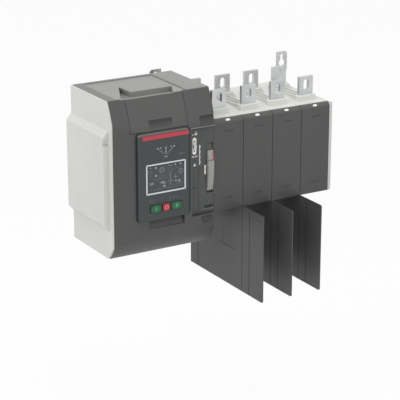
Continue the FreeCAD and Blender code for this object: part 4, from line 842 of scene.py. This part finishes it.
def print_mechanism_marks():
    """White marks round the selector, the pointer beside the window, and the dark joint line."""
    marks = Print(PANEL_LOW)
    marks.bar(9.6, 119.2, 4.4, 3.0)
    marks.ring(9.6, 121.4, 1.4, 0.6, 14)
    marks.dot(4.6, 118.6, 0.9)
    marks.bar(5.2, 86.4, 3.0, 2.0)
    marks.bar(9.2, 86.4, 1.6, 2.0)
    marks.bar(11.4, 87.0, 1.0, 3.0)
    marks.triangle(7.6, 73.8, 2.9)
    marks.line(15.9, 102.6, 15.9, 73.4, 1.3)
    for step in range(4):
        marks.bar(16.9, 77.0 + 7.6 * step, 1.2, 2.0)
    marks.piece("mechanism_marks", "white_ink")
    dark = Print(PANEL_LOW)
    dark.line(13.7, 71.0, 13.7, 3.0, 0.35)
    dark.piece("mechanism_line", "dark_ink", slot="black_moulding")


print_supply_diagram()
print_status_icon()
print_display()
print_key_marks()
print_mechanism_marks()


# ---- light and floor --------------------------------------------------------------------
OBJECT_MIDDLE = Vector((-0.1, -0.1, 0))
WHITE = (1, 1, 1, 1)
WORLD_STRENGTH = 0.72
FLOOR_HEIGHT, FLOOR_HALF = -0.42, 6.0
FLOOR_COLOUR = (0.86, 0.86, 0.86, 1)
FLOOR_WHITE_SHARE = 0.91


def area_light(name, place, size, power):
    """A soft rectangular lamp that looks at the middle of the object."""
    data = bpy.data.lights.new(name, "AREA")
    data.shape = "RECTANGLE"
    data.size, data.size_y = size
    data.energy = power
    aim(bpy.data.objects.new(name, data), Vector(place), OBJECT_MIDDLE)


def white_for_camera(nodes, shader, share, white_kind):
    """The shader, mixed with plain white where a camera, glossy or transmitted ray meets it."""
    camera = nodes.node("ShaderNodeLightPath", out="Is Camera Ray")
    reflected = nodes.sibling(camera, "Is Glossy Ray")
    through = nodes.sibling(camera, "Is Transmission Ray")
    seen = camera.most(reflected).most(through) * share
    white = nodes.node(white_kind, None, {"Color": WHITE, "Strength": 1.0})
    return nodes.node("ShaderNodeMixShader", None, {0: seen, 1: shader, 2: white})


def set_world():
    world = bpy.data.worlds.new("studio")
    bpy.context.scene.world = world
    nodes = Nodes(world)
    dim = nodes.node("ShaderNodeBackground", None, {"Color": WHITE, "Strength": WORLD_STRENGTH})
    mix = white_for_camera(nodes, dim, 1.0, "ShaderNodeBackground")
    nodes.node("ShaderNodeOutputWorld", None, {"Surface": mix})


def lay_floor():
    mesh = bpy.data.meshes.new("floor")
    bm = bmesh.new()
    bmesh.ops.create_grid(bm, x_segments=1, y_segments=1, size=FLOOR_HALF)
    bm.to_mesh(mesh)
    bm.free()
    floor = bpy.data.objects.new("floor", mesh)
    floor.location.z = FLOOR_HEIGHT
    bpy.context.scene.collection.objects.link(floor)
    material = bpy.data.materials.new("floor")
    nodes = Nodes(material)
    pale = nodes.node("ShaderNodeBsdfDiffuse", None, {"Color": FLOOR_COLOUR})
    mix = white_for_camera(nodes, pale, FLOOR_WHITE_SHARE, "ShaderNodeEmission")
    nodes.node("ShaderNodeOutputMaterial", None, {"Surface": mix})
    mesh.materials.append(material)


set_world()
area_light("top_softbox", place=(-0.5, -0.5, 2.2), size=(2.2, 1.6), power=23)
area_light("left_softbox", place=(-2.4, -1.0, 0.9), size=(1.6, 1.6), power=17)
area_light("front_fill", place=(0.6, -2.8, 0.6), size=(1.8, 1.4), power=3.5)
lay_floor()
bpy.context.scene.view_settings.view_transform = "Standard"
